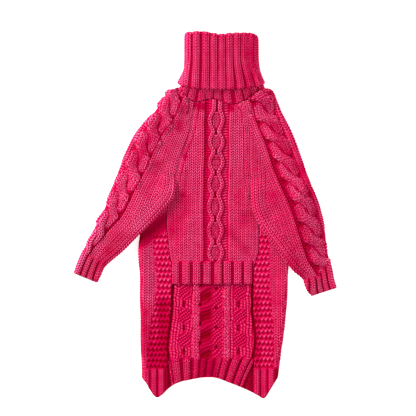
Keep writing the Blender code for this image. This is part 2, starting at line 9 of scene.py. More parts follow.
import bpy
import numpy as np
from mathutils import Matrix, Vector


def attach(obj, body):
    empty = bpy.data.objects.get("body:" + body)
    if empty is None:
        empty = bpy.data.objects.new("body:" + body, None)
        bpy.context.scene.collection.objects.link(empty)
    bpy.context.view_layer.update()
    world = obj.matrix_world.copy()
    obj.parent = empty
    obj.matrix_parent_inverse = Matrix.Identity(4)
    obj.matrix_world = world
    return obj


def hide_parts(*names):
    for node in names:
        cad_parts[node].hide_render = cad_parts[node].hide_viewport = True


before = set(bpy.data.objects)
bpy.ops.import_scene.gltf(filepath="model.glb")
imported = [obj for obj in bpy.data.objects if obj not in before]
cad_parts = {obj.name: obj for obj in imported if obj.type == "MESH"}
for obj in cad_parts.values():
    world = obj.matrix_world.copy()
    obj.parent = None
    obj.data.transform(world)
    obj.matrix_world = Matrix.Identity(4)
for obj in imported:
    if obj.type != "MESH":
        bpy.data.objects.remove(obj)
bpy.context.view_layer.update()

MM = 0.001
CLOTH = 3.0
HALF = CLOTH / 2
SEAM = 0.4
LAYER = 0.6
UPPER = CLOTH + LAYER + HALF
ARMPIT = 11.0
FLAP_RISE = 13.0
SLEEVE_ON_FLAP = 7.5

WALE = 5.4           # width of one stitch
COURSE = 3.45        # height of one stitch
LEAN = 1.05          # how far a stitch's two legs slope, in courses
STITCH = 1.6         # depth of the stitches
THINNEST = 0.15      # least thickness to each side of the wall's middle
BLOCK_ROWS = 5       # rows and columns of small faces in one block, about one stitch
BLOCK_COLUMNS = 8
BELLY_BLOCKS = (69, 22)           # rows and columns of blocks
FLAP_BLOCKS = 7                   # columns on a flap
FLOOR_BLOCKS = (4, 19, 4)         # on the back's lower layer, the window in the middle
BACK_ROW_BLOCKS = (9, 29, 28, 11)
COLLAR_BLOCKS = 40                # columns round the collar
COLLAR_ROW_BLOCKS = (26, 2, 22)   # inside, over the top and outside
BACK_MIDDLE = 12.0                # x between the two flaps

CORD = 2.2
CORD_HALF = 2.9
DIAMOND = 0.6
GUTTER = 1.0
GUTTER_IN = 9.6
BAR_BELOW = 5.0
LINE_AWAY = 18.1     # the raised wale beside a gutter
LINE_HALF = 2.6
EDGE_WALE = 4.6      # the narrower stitches along seams and folds
RIB = 1.8
RIB_VALLEY = 0.9     # depth of the valleys between ribs
CUFF_VALLEY = 0.4
# Painted shade in the valleys between ribs.
RIB_PAINTED_SHADE = 1.35      # how dark those valleys are
ROPE = 4.5
ROPE_TURN = 57.0
ROPE_HALF = 13.5


def table(names, *rows):
    return {name: [row[i] for row in rows] for i, name in enumerate(names.split())}


def strokes(*rows):
    """Short lines over the cloth, each with its half width and its strength in the middle."""
    return table("x0 y0 x1 y1 half strength", *rows)


BELLY = table(
    "y left right",
    (145, -15.5, 47), (140, -16.5, 52), (134.5, -17.5, 55.5), (123, -20, 57.5), (112.5, -21.5, 59),
    (101, -24.5, 59.5), (85, -31, 59.5), (71, -35.5, 59.5), (55, -39.5, 60), (36, -44, 63),
    (24, -46.5, 67), (8.5, -49, 70), (-12.5, -50, 69.5), (-33, -48, 69.5), (-47.5, -46.5, 69),
    (-65.5, -43.5, 64), (-90.5, -43, 62),
)
CABLE_MIDDLE = table(
    "y x",
    (145, 15.2), (110, 14.4), (80, 14.2), (55, 13.6), (25, 12.9), (-10, 13), (-40, 13.5), (-90, 14),
)
CABLE_KNOTS = (137.0, 107.0, 81.0, 54.0, 25.5, -6.0, -36.0, -63.0)
CABLE_SPREAD = 8.7
CABLE_TOUCH = 3.9
BELLY_HEM = -62.0
BELLY_END = -90.5
BELLY_PUFF = (0.8, 0.7)      # how far it rises left and right of x = 0
BELLY_RIBS = table(
    "x half",
    (-38.6, 5), (-24.8, 5.3), (-11, 5.3), (2.6, 5.2), (16.6, 5), (28.8, 5.2), (42.2, 5.3),
    (55.4, 5.2), (66, 3.6),
)

BACK = table(
    "y left right",
    (156.5, -31.5, 73.5), (136, -39.5, 80), (110, -47.5, 88), (84, -55, 95.5), (58, -63, 102),
    (32, -70.5, 107.5), (11, -77, 110), (-12.5, -82.5, 110.5), (-30.5, -85.5, 110),
    (-47.5, -87, 109.5), (-62, -86.5, 108.5), (-77.5, -85, 107.5), (-108.5, -85, 106.5),
    (-132, -84, 104.5), (-155.5, -84, 102), (-179, -83.5, 98.5), (-194.5, -82.5, 96.5),
    (-206, -82, 94.5),
)
FLAP_EDGE = table(
    "y left right",
    (-90.9, -43.6, 62.8), (-108.5, -44.5, 62.6), (-125.5, -45, 62.5), (-140, -46.5, 64.5),
    (-151.5, -48, 66), (-171, -50, 66), (-184, -49.5, 64), (-195.5, -49, 62.5), (-212.5, -48.5, 64),
)
HEM = table(
    "x y",
    (-83.5, -206), (-77, -218), (-72, -227), (-64, -237.5), (-56.5, -234.5), (-48.5, -227),
    (-41, -221.5), (-33, -218), (-20, -215), (-2, -212), (14, -212.5), (29.5, -218), (45, -224),
    (60.5, -231), (68.5, -235), (77, -238.5), (84, -228), (92, -214.5), (95.5, -207),
)
HEM_ROWS = -185.0
HEM_RIBS = -205.0
WINDOW_X = (-42.0, 60.0)
WINDOW_HOLES = ((-27.6, -116.4), (43.4, -116.8))
HOLE_PITCH = 30.8
WINDOW_CHAINS = (-13.9, -10.0, 26.2, 30.0)
# Painted shade over the whole window, in its holes and in the gaps beside the flaps.
WINDOW_PAINTED_SHADE = 0.16    # how dark the window is, its holes and the gaps beside the flaps
HOLE_PAINTED_SHADE = 2.0
GAP_PAINTED_SHADE = 3.0
HOLE_DEPTH = 2.0      # in mm
BRAID_MIDDLE = 8.0
BRAID_PIT = (-6.8, -91.7)
BRAID_PITCH = 25.2
BEAD_WALES = (3.95, 4.1)     # widths of the beaded wales left and right of the braid
STRIP_TOP = -25.0            # y at which the garter strips begin
WINDOW_RIBS = table(
    "x half",
    (-46, 1.8), (-38, 6.2), (-24, 5.3), (-11.8, 4), (-3, 3.5), (6.4, 3.8), (15.8, 3.8), (24.6, 4.8),
    (37, 5.6), (49.4, 5.2), (58, 2.8),
)
FLAP_RIBS = table(
    "x half",
    (-76.5, 4), (-67.2, 4.3), (-57, 4.3), (66.7, 4.3), (76.4, 4.3), (86, 4),
)
# The outer edges of the two garter-stitch strips on the flaps.
STRIP = table(
    "y left right",
    (-26, -67, 80), (-34, -68, 82.5), (-62, -64.5, 83), (-89, -62, 83.3), (-120, -66.5, 86.5),
    (-151, -72, 89), (-192, -76, 89), (-215, -76, 88),
)
TIGHT_FOLD = 0.4
ROUND_FOLD = 1.8

# Each row crosses a sleeve from its outer edge to its inner one. rope is the way along it to the
# rope's middle, line the way from there to the wale beyond the gutter, size the rope's fullness.
SLEEVE_LEFT = table(
    "row outer_x outer_y inner_x inner_y rope line size",
    (0, -48.5, 157.5, -15.5, 144.5, 11, 15, 1), (1, -56, 149, -18.5, 128, 12.5, 15, 1),
    (2, -65, 134.5, -22, 110, 14.5, 14.5, 1), (3, -80, 119, -28, 92.5, 18, 13.6, 1),
    (4, -92, 102.5, -34, 75, 20, 14.4, 1), (5, -100.5, 86.5, -39.5, 56, 20.6, 15, 1),
    (6, -107, 71, -38.5, 38, 19.6, 15.6, 1), (7, -112.5, 55, -42, 22, 17, 15.8, 0.98),
    (8, -119, 39.5, -53.5, 7.5, 15.4, 16.6, 0.95), (9, -125.5, 24, -66.5, -7, 14.6, 16.6, 0.9),
    (10, -130.5, 8.5, -80.5, -21, 12.2, 15.6, 0.82), (11, -139, -7, -93.5, -34.5, 9.6, 13.4, 0.68),
    (12, -146, -23, -106.5, -47.5, 7.2, 10.2, 0.52), (13, -152.5, -36, -119, -58, 5.4, 8.4, 0.4),
    (14, -161, -51.5, -129, -67, 4.2, 7, 0.32), (15, -166.5, -64.5, -135.5, -78, 3.4, 6.2, 0.26),
    (16, -170.5, -76.5, -142, -88, 3, 5.6, 0.22),
)
SLEEVE_RIGHT = table(
    "row outer_x outer_y inner_x inner_y rope line size",
    (0, 86.5, 160, 49, 144.5, 16.7, 17, 1), (1, 91.5, 151, 54.5, 134, 18.5, 17, 1),
    (2, 96.5, 138.5, 58, 119.5, 20.5, 17, 1), (3, 105, 121.5, 59.5, 102, 22, 17.4, 0.98),
    (4, 113, 105.5, 59.5, 86.5, 22.2, 18.2, 0.94), (5, 120.5, 86.5, 59.5, 68, 22.4, 18.8, 0.93),
    (6, 126, 71, 60, 51.5, 22.2, 19.2, 0.93), (7, 131, 55, 60, 36, 21.4, 19.2, 0.94),
    (8, 136.5, 41, 60.3, 18.5, 20.8, 19, 0.95), (9, 142, 27.5, 62.5, 3.5, 19.8, 19, 0.97),
    (10, 147, 14.5, 69.5, -12, 19.6, 19, 0.98), (11, 150.5, 2, 79.5, -27.5, 20, 18.6, 1),
    (12, 154, -12.5, 90.5, -41.5, 19.3, 18.6, 1), (13, 155.5, -29, 102, -58, 16.5, 18.4, 0.95),
    (14, 158, -45, 114, -73, 14, 18, 0.88), (15, 160.5, -56.5, 125.5, -83, 11, 17, 0.8),
    (16, 164, -69.5, 131, -93, 8, 16, 0.72), (17, 166.5, -82.5, 134.5, -101, 6, 15, 0.66),
    (18, 170.5, -95.5, 137.5, -106, 5, 14, 0.6),
)
# The sleeves' top edges, which pass over the ends of the neck band.
SHOULDER_LEFT = table(
    "x y",
    (-56, 151), (-49, 155), (-43.8, 159.4), (-39, 163.4), (-35, 164.4), (-31, 160.5), (-27, 154.5),
    (-22, 149.5), (-15, 145.4),
)
SHOULDER_RIGHT = table(
    "x y",
    (47, 146), (54, 148), (58, 150.2), (62, 153.6), (68, 158.5), (72, 161.2), (78, 163),
    (84, 161.6), (88.5, 158.8), (93, 155),
)
SHOULDER_RISE = 3.2
SLEEVE_ROWS = 420
SEWN_LEFT, JOINED_LEFT = 5.3, 10      # rows to which a sleeve is sewn to the belly and the back
SEWN_RIGHT, JOINED_RIGHT = 6.2, 11
SLEEVE_COLUMNS = (8, 16, 16, 16, 40, 8, 80, 8)
TIGHT_RAMP = 26.0
SOFT_RAMP = 46.0
FOLD_RADIUS = 2.7
STRAND_HALF = 9.4
STRAND_SWING = 6.6
TURN_START = 8.5        # where the strands first cross
OUTER_LINE = 18.0
STRAND_WALE = 5.0
SLEEVE_PUFF = 1.9       # how far the upper layer rises, 0.5 less left and 0.5 more right
CUFF_RIB = 8.6
CUFF_RIB_HALF = 3.3
CUFF_WALE = 3.6

NECK = table(
    "x y",
    (-49, 159), (-35.5, 153.5), (-25, 149.8), (-15.5, 147.6), (-8, 146.6), (-1, 148.6), (6, 150),
    (16, 149.2), (24, 146.2), (30, 144), (37, 143.4), (45, 145.6), (54, 149.6), (64.5, 154),
    (76.5, 158.5), (87, 162),
)
COLLAR_IN = table(
    "row y left_y right_y back_y left right front back",
    (0, 146, 153.5, 158.5, 158.3, -35.5, 76.5, 5.1, 1.5),
    (1, 149.5, 156, 160.3, 160.5, -35.3, 76.5, 5.2, 1.5),
    (2, 155, 160, 163.5, 164.5, -34.5, 76, 7.2, 3.2),
    (3, 161, 165.5, 167.5, 169.5, -31, 73.5, 9.8, 4.9),
    (4, 168, 171, 172.5, 175, -27, 69, 10.2, 5.1), (5, 190, 190, 190, 190, -22.5, 65, 10.2, 5.1),
    (6, 235.2, 235.2, 235.2, 235.2, -21, 61, 10.2, 5.1),
)
COLLAR_OUT = table(
    "row y left_y right_y back_y left right front back",
    (0, 235.2, 235.2, 235.2, 235.2, -25, 67, 13.8, 1.5),
    (1, 219, 219, 219, 219, -25.4, 67.2, 13.8, 1.5),
    (2, 200, 200, 200, 200, -25.2, 67.4, 13.8, 1.5), (3, 186, 187, 187, 187, -26.2, 69, 14, 1.5),
    (4, 173, 176, 176.5, 177, -31, 72.4, 14.5, 1.5),
    (5, 161.5, 167, 167, 170, -35.5, 76.4, 15.2, 1.5),
)
COLLAR_SHARE = (26, 4, 26, 4)
COLLAR_TOP = 238.5
COLLAR_COURSE = 3.3
COLLAR_RIB_HALF = 4.7
BAND_RIB_HALF = 5.2       # of the ribs at the neck
# How far the fold at the collar's top sinks, at each of its ridges.
TOP_SINK = table(
    "x sink",
    (-22.6, 3.8), (-11.6, 2.8), (0.8, 3.3), (11.2, 5.2), (21.6, 6.2), (31.3, 5), (41.1, 4.6),
    (50.8, 4.6), (59.3, 5.2), (67, 8.6),
)
# Ridges of the collar's front at its fold and at its free edge, and those of the neck band.
RIDGES_TOP = (-22.6, -11.6, 0.8, 11.2, 21.6, 31.3, 41.1, 50.8, 59.3, 67.0)
RIDGES_EDGE = (-27.8, -12.9, 0.1, 11.2, 21.6, 32.6, 46.3, 59.3, 71.0, 82.0)
RIDGES_NECK = (-43.0, -31.0, -19.0, -5.1, 5.3, 16.6, 29.8, 45.4, 57.6, 69.0, 82.0)

# Painted shade along short lines, where the colour is darkened to stand in for shadow, or painted
# light where a strength is below 0.
SHADE_BELLY = strokes(
    (44, 44, 46, -20, 11, 0.25), (-42, -24, -28, 16, 20, 0.5), (-28, 26, -24, 52, 8, 0.4),
    (-22, 144, -4, 140, 12, 0.8), (-24, 124, -27, 76, 8, 0.45), (32, 146, 34, 136, 8, 0.8),
    (56, 0, 58, -14, 14, 0.4), (55, 82, 56, 50, 7, 0.15), (30, -20, 54, -46, 13, 0.35),
)
SHADE_FLAPS = strokes(
    (-82, -130, -66, -200, 18, 0.5), (-74, -55, -74, -112, 7, -0.3), (94, -112, 86, -200, 18, 0.15),
    (-88, -36, -46, -6, 16, 1.5), (-88, -60, -86, -140, 6, -0.4), (93, -60, 93, -112, 12, 0.2),
    (-54, -118, -52, -196, 14, 0.9), (66, -110, 68, -200, 9, 0.4),
)
SHADE_LEFT = strokes(
    (-50, 158, -101, 88, 8, -0.9), (-101, 88, -140, -8, 8, -0.9), (-140, -8, -172, -77, 8, -0.9),
    (-58, 122, -92, 62, 12, 0.45), (-64, 66, -74, 28, 10, 0.3), (-26, 138, -34, 112, 10, 0.4),
    (-112, -28, -136, -68, 15, 0.35), (-134, -10, -166, -66, 10, -0.4),
    (-52, 28, -90, -16, 12, -0.45), (-46, 66, -42, 24, 8, -0.2), (-36, 118, -62, 52, 10, 0.2),
)
SHADE_RIGHT = strokes(
    (60, 151, 84, 148, 14, 0.25), (92, 112, 122, 56, 14, 0.25), (128, 60, 156, -50, 12, 0.3),
    (100, 44, 138, -48, 10, 0.3), (84, 60, 124, -66, 24, 0.3), (56, 134, 66, 48, 10, 0.25),
    (88, 24, 82, 0, 14, 0.15), (108, -56, 128, -84, 12, 0.25), (76, 138, 134, 20, 14, 0.15),
)

# Troughs and ridges of the upper side, in mm.
CREASES_BELLY = strokes(
    (-46, 2, -32, 34, 11, -0.5), (-30, 60, -22, 100, 8, 0.9), (57, 30, 55, 124, 11, 1),
    (-13, 72, -8, 134, 11, 0.9), (64, 18, 52, 44, 9, -0.8), (-34, -40, -20, -8, 12, 0.6),
    (40, -52, 60, -20, 12, 0.6), (-8, -52, 4, -30, 8, -0.4),
)
CREASES_LEFT = strokes(
    (-54, 62, -70, 20, 12, -1.2), (-70, 72, -88, 30, 11, 0.8), (-104, 14, -78, 2, 10, -0.8),
    (-118, -14, -98, -26, 9, 0.7), (-134, -34, -118, -44, 8, -0.6),
)
CREASES_RIGHT = strokes(
    (84, 58, 80, 24, 12, -0.8), (72, 84, 66, 112, 9, 0.8), (104, 8, 84, 0, 12, -0.9),
    (118, -20, 100, -28, 10, 0.8), (136, -52, 120, -58, 9, -0.6),
)
CREASES_FLAPS = strokes(
    (-54, -122, -50, -170, 13, -1.6), (-72, -112, -68, -176, 9, 0.9),
    (-61, -50, -60, -108, 11, 0.9), (94, -60, 98, -112, 10, 0.7), (76, -150, 84, -186, 10, 0.6),
    (90, -20, 102, -44, 9, -0.6),
)
# Troughs of the back's outer side, which lies on the surface.
CREASES_UNDER = strokes(
    (-52, 96, -30, 40, 12, -0.6), (70, 100, 88, 52, 11, -0.7), (-70, -8, -40, -34, 13, -0.5),
    (96, 4, 66, -30, 12, -0.6), (-14, 30, -4, -20, 9, -0.4), (34, 70, 28, 22, 10, -0.4),
    (-66, -96, -58, -150, 11, -0.5), (74, -118, 84, -170, 12, -0.6), (6, -128, 14, -176, 9, -0.3),
)


def smooth(key, value, at):
    """A smooth curve through values, or rings of points, that stand at rising keys."""
    key, value = np.asarray(key, float), np.asarray(value, float)
    slope = np.gradient(value, key, axis=0)
    i = np.clip(np.searchsorted(key, at) - 1, 0, len(key) - 2)
    width = key[i + 1] - key[i]
    t = (at - key[i]) / width
    if value.ndim > 1:
        width, t = width[:, None, None], t[:, None, None]
    ends = (1 + 2 * t) * (1 - t) ** 2 * value[i] + t * t * (3 - 2 * t) * value[i + 1]
    bends = t * (1 - t) ** 2 * slope[i] - t * t * (1 - t) * slope[i + 1]
    return ends + width * bends


def read(source, name, at):
    """One column of a table as a smooth curve over the table's first column."""
    key, value = source[next(iter(source))], source[name]
    if key[0] > key[-1]:
        key, value = key[::-1], value[::-1]
    return smooth(key, value, np.clip(at, key[0], key[-1]))


def columns_of(source, at):
    return [read(source, name, at) for name in list(source)[1:]]


def edge_of(source, side, at):
    """The left edge in a table if side is -1, or the right one."""
    return read(source, "left" if side < 0 else "right", at)


def step(low, high, at):
    t = np.clip((at - low) / (high - low), 0.0, 1.0)
    return t * t * (3 - 2 * t)


def mix(a, b, t):
    return a + (b - a) * t


def bump(distance, half):
    return np.sqrt(np.clip(1 - (distance / half) ** 2, 0.0, 1.0))


def cosine(middle, reach, turns):
    return middle + reach * np.cos(2 * math.pi * turns)


def spread(stations, counts):
    parts = [stations[0][..., None]]
    for start, end, count in zip(stations, stations[1:], counts):
        t = np.arange(1, count + 1) / count
        parts.append(start[..., None] + (end - start)[..., None] * t)
    return np.concatenate(parts, axis=-1)


def creases(x, y, source):
    """Soft troughs and ridges in mm, or painted shade by strength, each along its own short line.
    """
    total = np.zeros_like(x)
    for x0, y0, x1, y1, half, height in zip(*source.values()):
        dx, dy = x1 - x0, y1 - y0
        t = np.clip(((x - x0) * dx + (y - y0) * dy) / (dx * dx + dy * dy), 0, 1)
        away = np.hypot(x - x0 - t * dx, y - y0 - t * dy)
        total += height * np.cos(np.clip(away / half, 0, 1) * math.pi / 2) ** 2
    return total


def uneven(x, y, size):
    """A smooth wandering value between -1 and 1 that changes over about size mm."""
    k = 2 * math.pi / size
    return (
        np.sin(k * (0.90 * x + 0.41 * y)) + np.sin(k * (0.53 * x - 0.83 * y) + 1.3)
        + np.sin(k * (-0.22 * x + 1.07 * y) + 4.1)
    ) / 3


# ---------------------------------------------------------------- stitches
# u counts wales and v counts courses. Each pattern gives 0 in its hollows and 1 on its crowns.

def knit(u, v):
    """Knit stitches: two legs that meet low in the middle of each wale."""
    inward = 1 - np.abs(2 * (u % 1.0) - 1)
    across = (v + LEAN * inward) % 1.0 - 0.5
    along = np.sqrt(np.clip(1 - 0.95 * (2 * inward - 1) ** 2, 0, 1))
    return step(0.05, 0.88, np.clip(np.cos(math.pi * across), 0, 1) * along)


def ladder(v, t):
    """Slanting bars from one side of a gutter (t = 0) to the other (t = 1)."""
    bar = cosine(0.5, 0.5, v - 0.45 * t)
    return step(0.2, 0.9, bar) * np.sin(math.pi * np.clip(t, 0, 1)) ** 0.6


def sharpen(crown):
    return step(0.2, 0.85, crown)


def garter(u, v):
    """Garter stitch: zigzag cords, one to every second course, with low bands between them."""
    row = np.floor(v / 2)
    place = u + 0.5 * row + 0.14 * np.sin(2.3 * row)
    along = np.abs(2 * (place % 1.0) - 1)
    across = (v / 2) % 1.0 - 0.5
    cord = bump(across - 0.2 + 0.44 * along, 0.3)
    return step(0.0, 0.9, cord) * (0.8 + 0.2 * np.sin(2 * math.pi * (place + 0.15)))


# ---------------------------------------------------------------- meshes

def grid_normals(points, closed):
    if closed:
        along_row = np.roll(points, -1, axis=1) - np.roll(points, 1, axis=1)
    else:
        along_row = np.gradient(points, axis=1)
    normal = np.cross(np.gradient(points, axis=0), along_row)
    length = np.linalg.norm(normal, axis=2, keepdims=True)
    return normal / np.where(length > 0, length, 1)


def rim_factor(present, closed):
    """Thickness factor that rounds the wall towards every edge of the cloth."""
    cells = np.kron(present, np.ones((BLOCK_ROWS, BLOCK_COLUMNS))) > 0
    rows, columns = cells.shape
    padded = np.zeros((rows + 2, columns + 2), bool)
    padded[1:-1, 1:-1] = cells
    if closed:
        padded[1:-1, 0], padded[1:-1, -1] = cells[:, -1], cells[:, 0]
    inside = padded[:-1, :-1] & padded[:-1, 1:] & padded[1:, :-1] & padded[1:, 1:]
    factor = np.where(inside, 1.0, 0.55)
    level = inside
    for value in (0.84, 0.96):
        wide = np.pad(level, 1, constant_values=False)
        if closed:
            wide[:, 0], wide[:, -1] = wide[:, -3], wide[:, 2]
        deeper = level & wide[:-2, 1:-1] & wide[2:, 1:-1] & wide[1:-1, :-2] & wide[1:-1, 2:]
        factor[level & ~deeper] = value
        level = deeper
    return factor[:, :-1] if closed else factor


def cloth(name, points, thick, present, fine, marks, closed=False, flip=False):
    """A closed wall of knitting about a grid of middle points.

    thick holds the thickness to each side. The grid is made of blocks: present says which are
    there, fine[side] says which carry real stitches, and the others are one face each.
    """
    rows, columns = points.shape[:2]
    normal = grid_normals(points, closed) * (-1 if flip else 1)
    rim = rim_factor(present, closed)[..., None]
    over, under = (np.maximum(t, THINNEST)[..., None] * rim for t in thick)
    sides = np.stack((points + normal * over, points - normal * under))

    def at(side, i, j):
        return side * rows * columns + i * columns + (j % columns if closed else j)

    faces = []
    for side in (0, 1):
        small = np.kron(present & fine[side], np.ones((BLOCK_ROWS, BLOCK_COLUMNS))) > 0
        i, j = np.nonzero(small)
        corners = ((i, j), (i + 1, j), (i + 1, j + 1), (i, j + 1))
        loop = np.stack([at(side, *corner) for corner in corners], 1)
        if (side == 1) != flip:
            loop = loop[:, ::-1]
        faces += loop.tolist()
    block_rows, block_columns = present.shape

    def there(bi, bj):
        if closed:
            bj %= block_columns
        return 0 <= bi < block_rows and 0 <= bj < block_columns and present[bi, bj]

    for bi, bj in zip(*np.nonzero(present)):
        i0, j0 = bi * BLOCK_ROWS, bj * BLOCK_COLUMNS
        i1, j1 = i0 + BLOCK_ROWS, j0 + BLOCK_COLUMNS
        edges = (
            ((bi, bj - 1), [(i, j0) for i in range(i0, i1 + 1)]),
            ((bi + 1, bj), [(i1, j) for j in range(j0, j1 + 1)]),
            ((bi, bj + 1), [(i, j1) for i in range(i1, i0 - 1, -1)]),
            ((bi - 1, bj), [(i0, j) for j in range(j1, j0 - 1, -1)]),
        )
        either = fine[0, bi, bj] or fine[1, bi, bj]
        loops = ([], [])
        for (ni, nj), line in edges:
            if there(ni, nj):
                for side in (0, 1):
                    full = fine[side, ni, nj % block_columns]
                    loops[side].extend(line[:-1] if full else line[:1])
                continue
            kept = line if either else [line[0], line[-1]]
            for side in (0, 1):
                loops[side].extend(kept[:-1])
            for p, q in zip(kept, kept[1:]):
                quad = [at(0, *q), at(0, *p), at(1, *p), at(1, *q)]
                faces.append(quad[::-1] if flip else quad)
        for side in (0, 1):
            if not fine[side, bi, bj]:
                loop = [at(side, *p) for p in loops[side]]
                faces.append(loop[::-1] if (side == 1) != flip else loop)

    used = np.zeros(2 * rows * columns, bool)
    used[np.concatenate([np.asarray(f) for f in faces])] = True
    number = np.cumsum(used) - 1
    faces = [[int(number[k]) for k in f] for f in faces]
    vertices = sides.reshape(-1, 3)[used] * MM
    data = bpy.data.meshes.new(name)
    data.from_pydata(vertices.tolist(), [], faces)
    for mark, values in marks.items():
        layer = data.attributes.new(mark, "FLOAT", "POINT")
        layer.data.foreach_set("value", np.ascontiguousarray(values.reshape(-1)[used], np.float32))
    data.shade_smooth()
    data.update()
    piece = bpy.data.objects.new(name, data)
    bpy.context.scene.collection.objects.link(piece)
    return piece


def marks_of(u, v, hollow, painted_shade, fine):
    """Attributes of both sides: place in the stitches, their hollows, painted shade and plain
    sides.
    """
    shape = (2,) + u.shape
    rough = np.ones(shape)
    for side in (0, 1):
        cells = np.kron(fine[side], np.ones((BLOCK_ROWS, BLOCK_COLUMNS)))
        rows, columns = cells.shape
        rough[side, :rows, :columns] = 1 - cells[:u.shape[0], :u.shape[1]]
    return {
        "wale": np.broadcast_to(u, shape),
        "course": np.broadcast_to(v, shape),
        "hollow": np.broadcast_to(hollow, shape),
        "painted_shade": np.broadcast_to(painted_shade, shape),
        "plain": rough,
    }


# ---------------------------------------------------------------- belly

def cable_offset(y):
    knots = np.array(CABLE_KNOTS[::-1])
    place = np.interp(y, knots, np.arange(len(knots)))
    wave = 0.5 - 0.5 * np.cos(2 * math.pi * place)
    return CABLE_TOUCH + (CABLE_SPREAD - CABLE_TOUCH) * wave ** 0.8


def rib_wales(x, ribs):
    """Wales about the middle of the nearest rib, as u, and how much of a rib is here."""
    centres, halves = np.asarray(ribs["x"]), np.asarray(ribs["half"])
    nearest = (np.abs(x[..., None] - centres) / halves).argmin(axis=-1)
    from_centre = x - centres[nearest]
    return from_centre / WALE, bump(from_centre, halves[nearest])


def ribbed(rib, valley):
    """Height of ribs whose valleys are that deep."""
    return (RIB + valley) * rib - valley


def rib_painted_shade(rib, most=RIB_PAINTED_SHADE):
    """Painted shade over ribs, most in their valleys."""
    return most - RIB_PAINTED_SHADE * step(0.0, 0.8, rib)


def belly_face(x, y):
    """Height, hollows and painted shade of the belly's upper face."""
    v = y / COURSE + 0.14 * uneven(x, y, 23.0)
    middle = read(CABLE_MIDDLE, "x", y) + 0.5 * uneven(0 * x, y, 60.0)
    offset = cable_offset(y)
    away = np.abs(x - middle) + 0.35 * uneven(x, y, 31.0)
    line_away = LINE_AWAY + 1.3 * (x > middle)
    u = (away - line_away) / WALE + 0.5
    field = knit(u, v)
    gutter = step(GUTTER_IN - 0.8, GUTTER_IN + 0.8, away)
    gutter = gutter * step(line_away - 1.6, line_away - 3.0, away)
    across = (away - offset - CORD_HALF) / (line_away - 2.2 - offset - CORD_HALF)
    crown = mix(field, ladder(v, across), step(line_away - 2.3, line_away - 2.9, away))
    cord_away = away - offset
    on_cord = bump(cord_away, CORD_HALF)
    cord_crown = sharpen(knit(cord_away / (2 * CORD_HALF) + 0.5, v))
    crown = mix(crown, cord_crown, step(0.1, 0.5, on_cord))
    inside = step(0.2, 1.6, offset - CORD_HALF + 0.6 - away) * step(4.6, 5.6, offset)
    knots = np.asarray(CABLE_KNOTS)
    below = np.min(np.abs(y[..., None] - (knots - BAR_BELOW)), axis=-1)
    bar = bump(below, 1.4) * inside
    crown = mix(crown, sharpen(knit((x - middle) / 4.4, v)), inside)
    crown = np.maximum(crown, bar)
    crossing = step(4.9, 4.2, offset) * step(1.5, 0.7, away)
    line = bump(away - line_away, LINE_HALF)
    raised = np.maximum(CORD * on_cord ** 0.7, DIAMOND * inside - 0.3 + 1.2 * bar)
    form = raised - GUTTER * gutter + 0.9 * line - 1.2 * crossing
    hem = step(BELLY_HEM + 3, BELLY_HEM - 2, y)
    rib_u, rib = rib_wales(x, BELLY_RIBS)
    form = mix(form, ribbed(rib, RIB_VALLEY), hem)
    crown = mix(crown, knit(rib_u, v), hem)
    # Painted shade in the gutters, more in the left one, inside the cable and where its cords
    # cross.
    painted_shade = np.maximum(np.where(x > middle, 0.3, 0.75) * gutter + 0.3 * inside, crossing)
    # Painted shade in the hem's rib valleys.
    painted_shade = mix(painted_shade, rib_painted_shade(rib), hem)
    return form, crown, painted_shade, u, v


def make_belly():
    rows, columns = BELLY_BLOCKS[0] * BLOCK_ROWS, BELLY_BLOCKS[1] * BLOCK_COLUMNS
    y = np.linspace(BELLY["y"][0], BELLY_END, rows + 1)
    left, right = columns_of(BELLY, y)
    x = left[:, None] + (right - left)[:, None] * np.linspace(0, 1, columns + 1)
    y = np.broadcast_to(y[:, None], x.shape)
    to_neck = read(NECK, "y", x) - SEAM * 2.5 - BELLY["y"][0]
    y = y + to_neck * step(120.0, BELLY["y"][0], y)
    form, crown, painted_shade, u, v = belly_face(x, y)
    edge = np.minimum(x - left[:, None], right[:, None] - x)
    by_edge = (edge < 2 * EDGE_WALE) & (y > BELLY_HEM)
    crown = np.where(by_edge, knit(edge / EDGE_WALE, v), crown)
    groove = bump(edge - 2 * EDGE_WALE, 1.3) * step(20.0, 60.0, y)
    form = form - 0.5 * groove
    # Painted shade along the groove by the edges and along the SHADE_BELLY strokes, which also sink
    # the cloth a little.
    shade = creases(x, y, SHADE_BELLY)
    painted_shade = np.maximum(painted_shade, 0.5 * groove) + shade
    puff = np.where(x < 0, *BELLY_PUFF) * step(0, 13, edge)
    puff = puff + creases(x, y, CREASES_BELLY) * step(1, 9, edge)
    points = np.stack((x, y, UPPER + puff - 0.9 * shade), axis=-1)
    over = HALF + form + 1.1 * STITCH * (crown - 0.5)
    present = np.ones(BELLY_BLOCKS, bool)
    fine = np.stack((present, ~present))
    marks = marks_of(u, v, 1 - crown, painted_shade, fine)
    return cloth("belly_knit", points, (over, np.full(x.shape, HALF)), present, fine, marks)


# ---------------------------------------------------------------- back with its flaps

def fold_radius(y, side):
    start, end = (-15.0, -40.0) if side < 0 else (-66.0, -90.0)
    return HALF + mix(TIGHT_FOLD, ROUND_FOLD, step(start, end, y))


def flap(y, side, columns):
    """Middle points of a side flap, from its free edge to the fold."""
    radius = fold_radius(y, side)
    fold_x = edge_of(BACK, side, y) - side * (HALF + radius)
    risen = y + FLAP_RISE * step(ARMPIT - 45, ARMPIT, y)
    sewn = edge_of(BELLY, side, risen) + side * SEAM
    edge = np.where(risen > BELLY_END - SEAM, sewn, edge_of(FLAP_EDGE, side, risen))
    t = np.linspace(0, 1, columns + 1)[:-1]
    x = edge[:, None] + (fold_x - edge)[:, None] * t
    near_fold = step(16.0, 0.0, np.abs(x - fold_x[:, None]))
    z = mix(UPPER, HALF + 2 * radius[:, None], near_fold)
    return np.array((x, mix(risen[:, None], y[:, None], t), z))


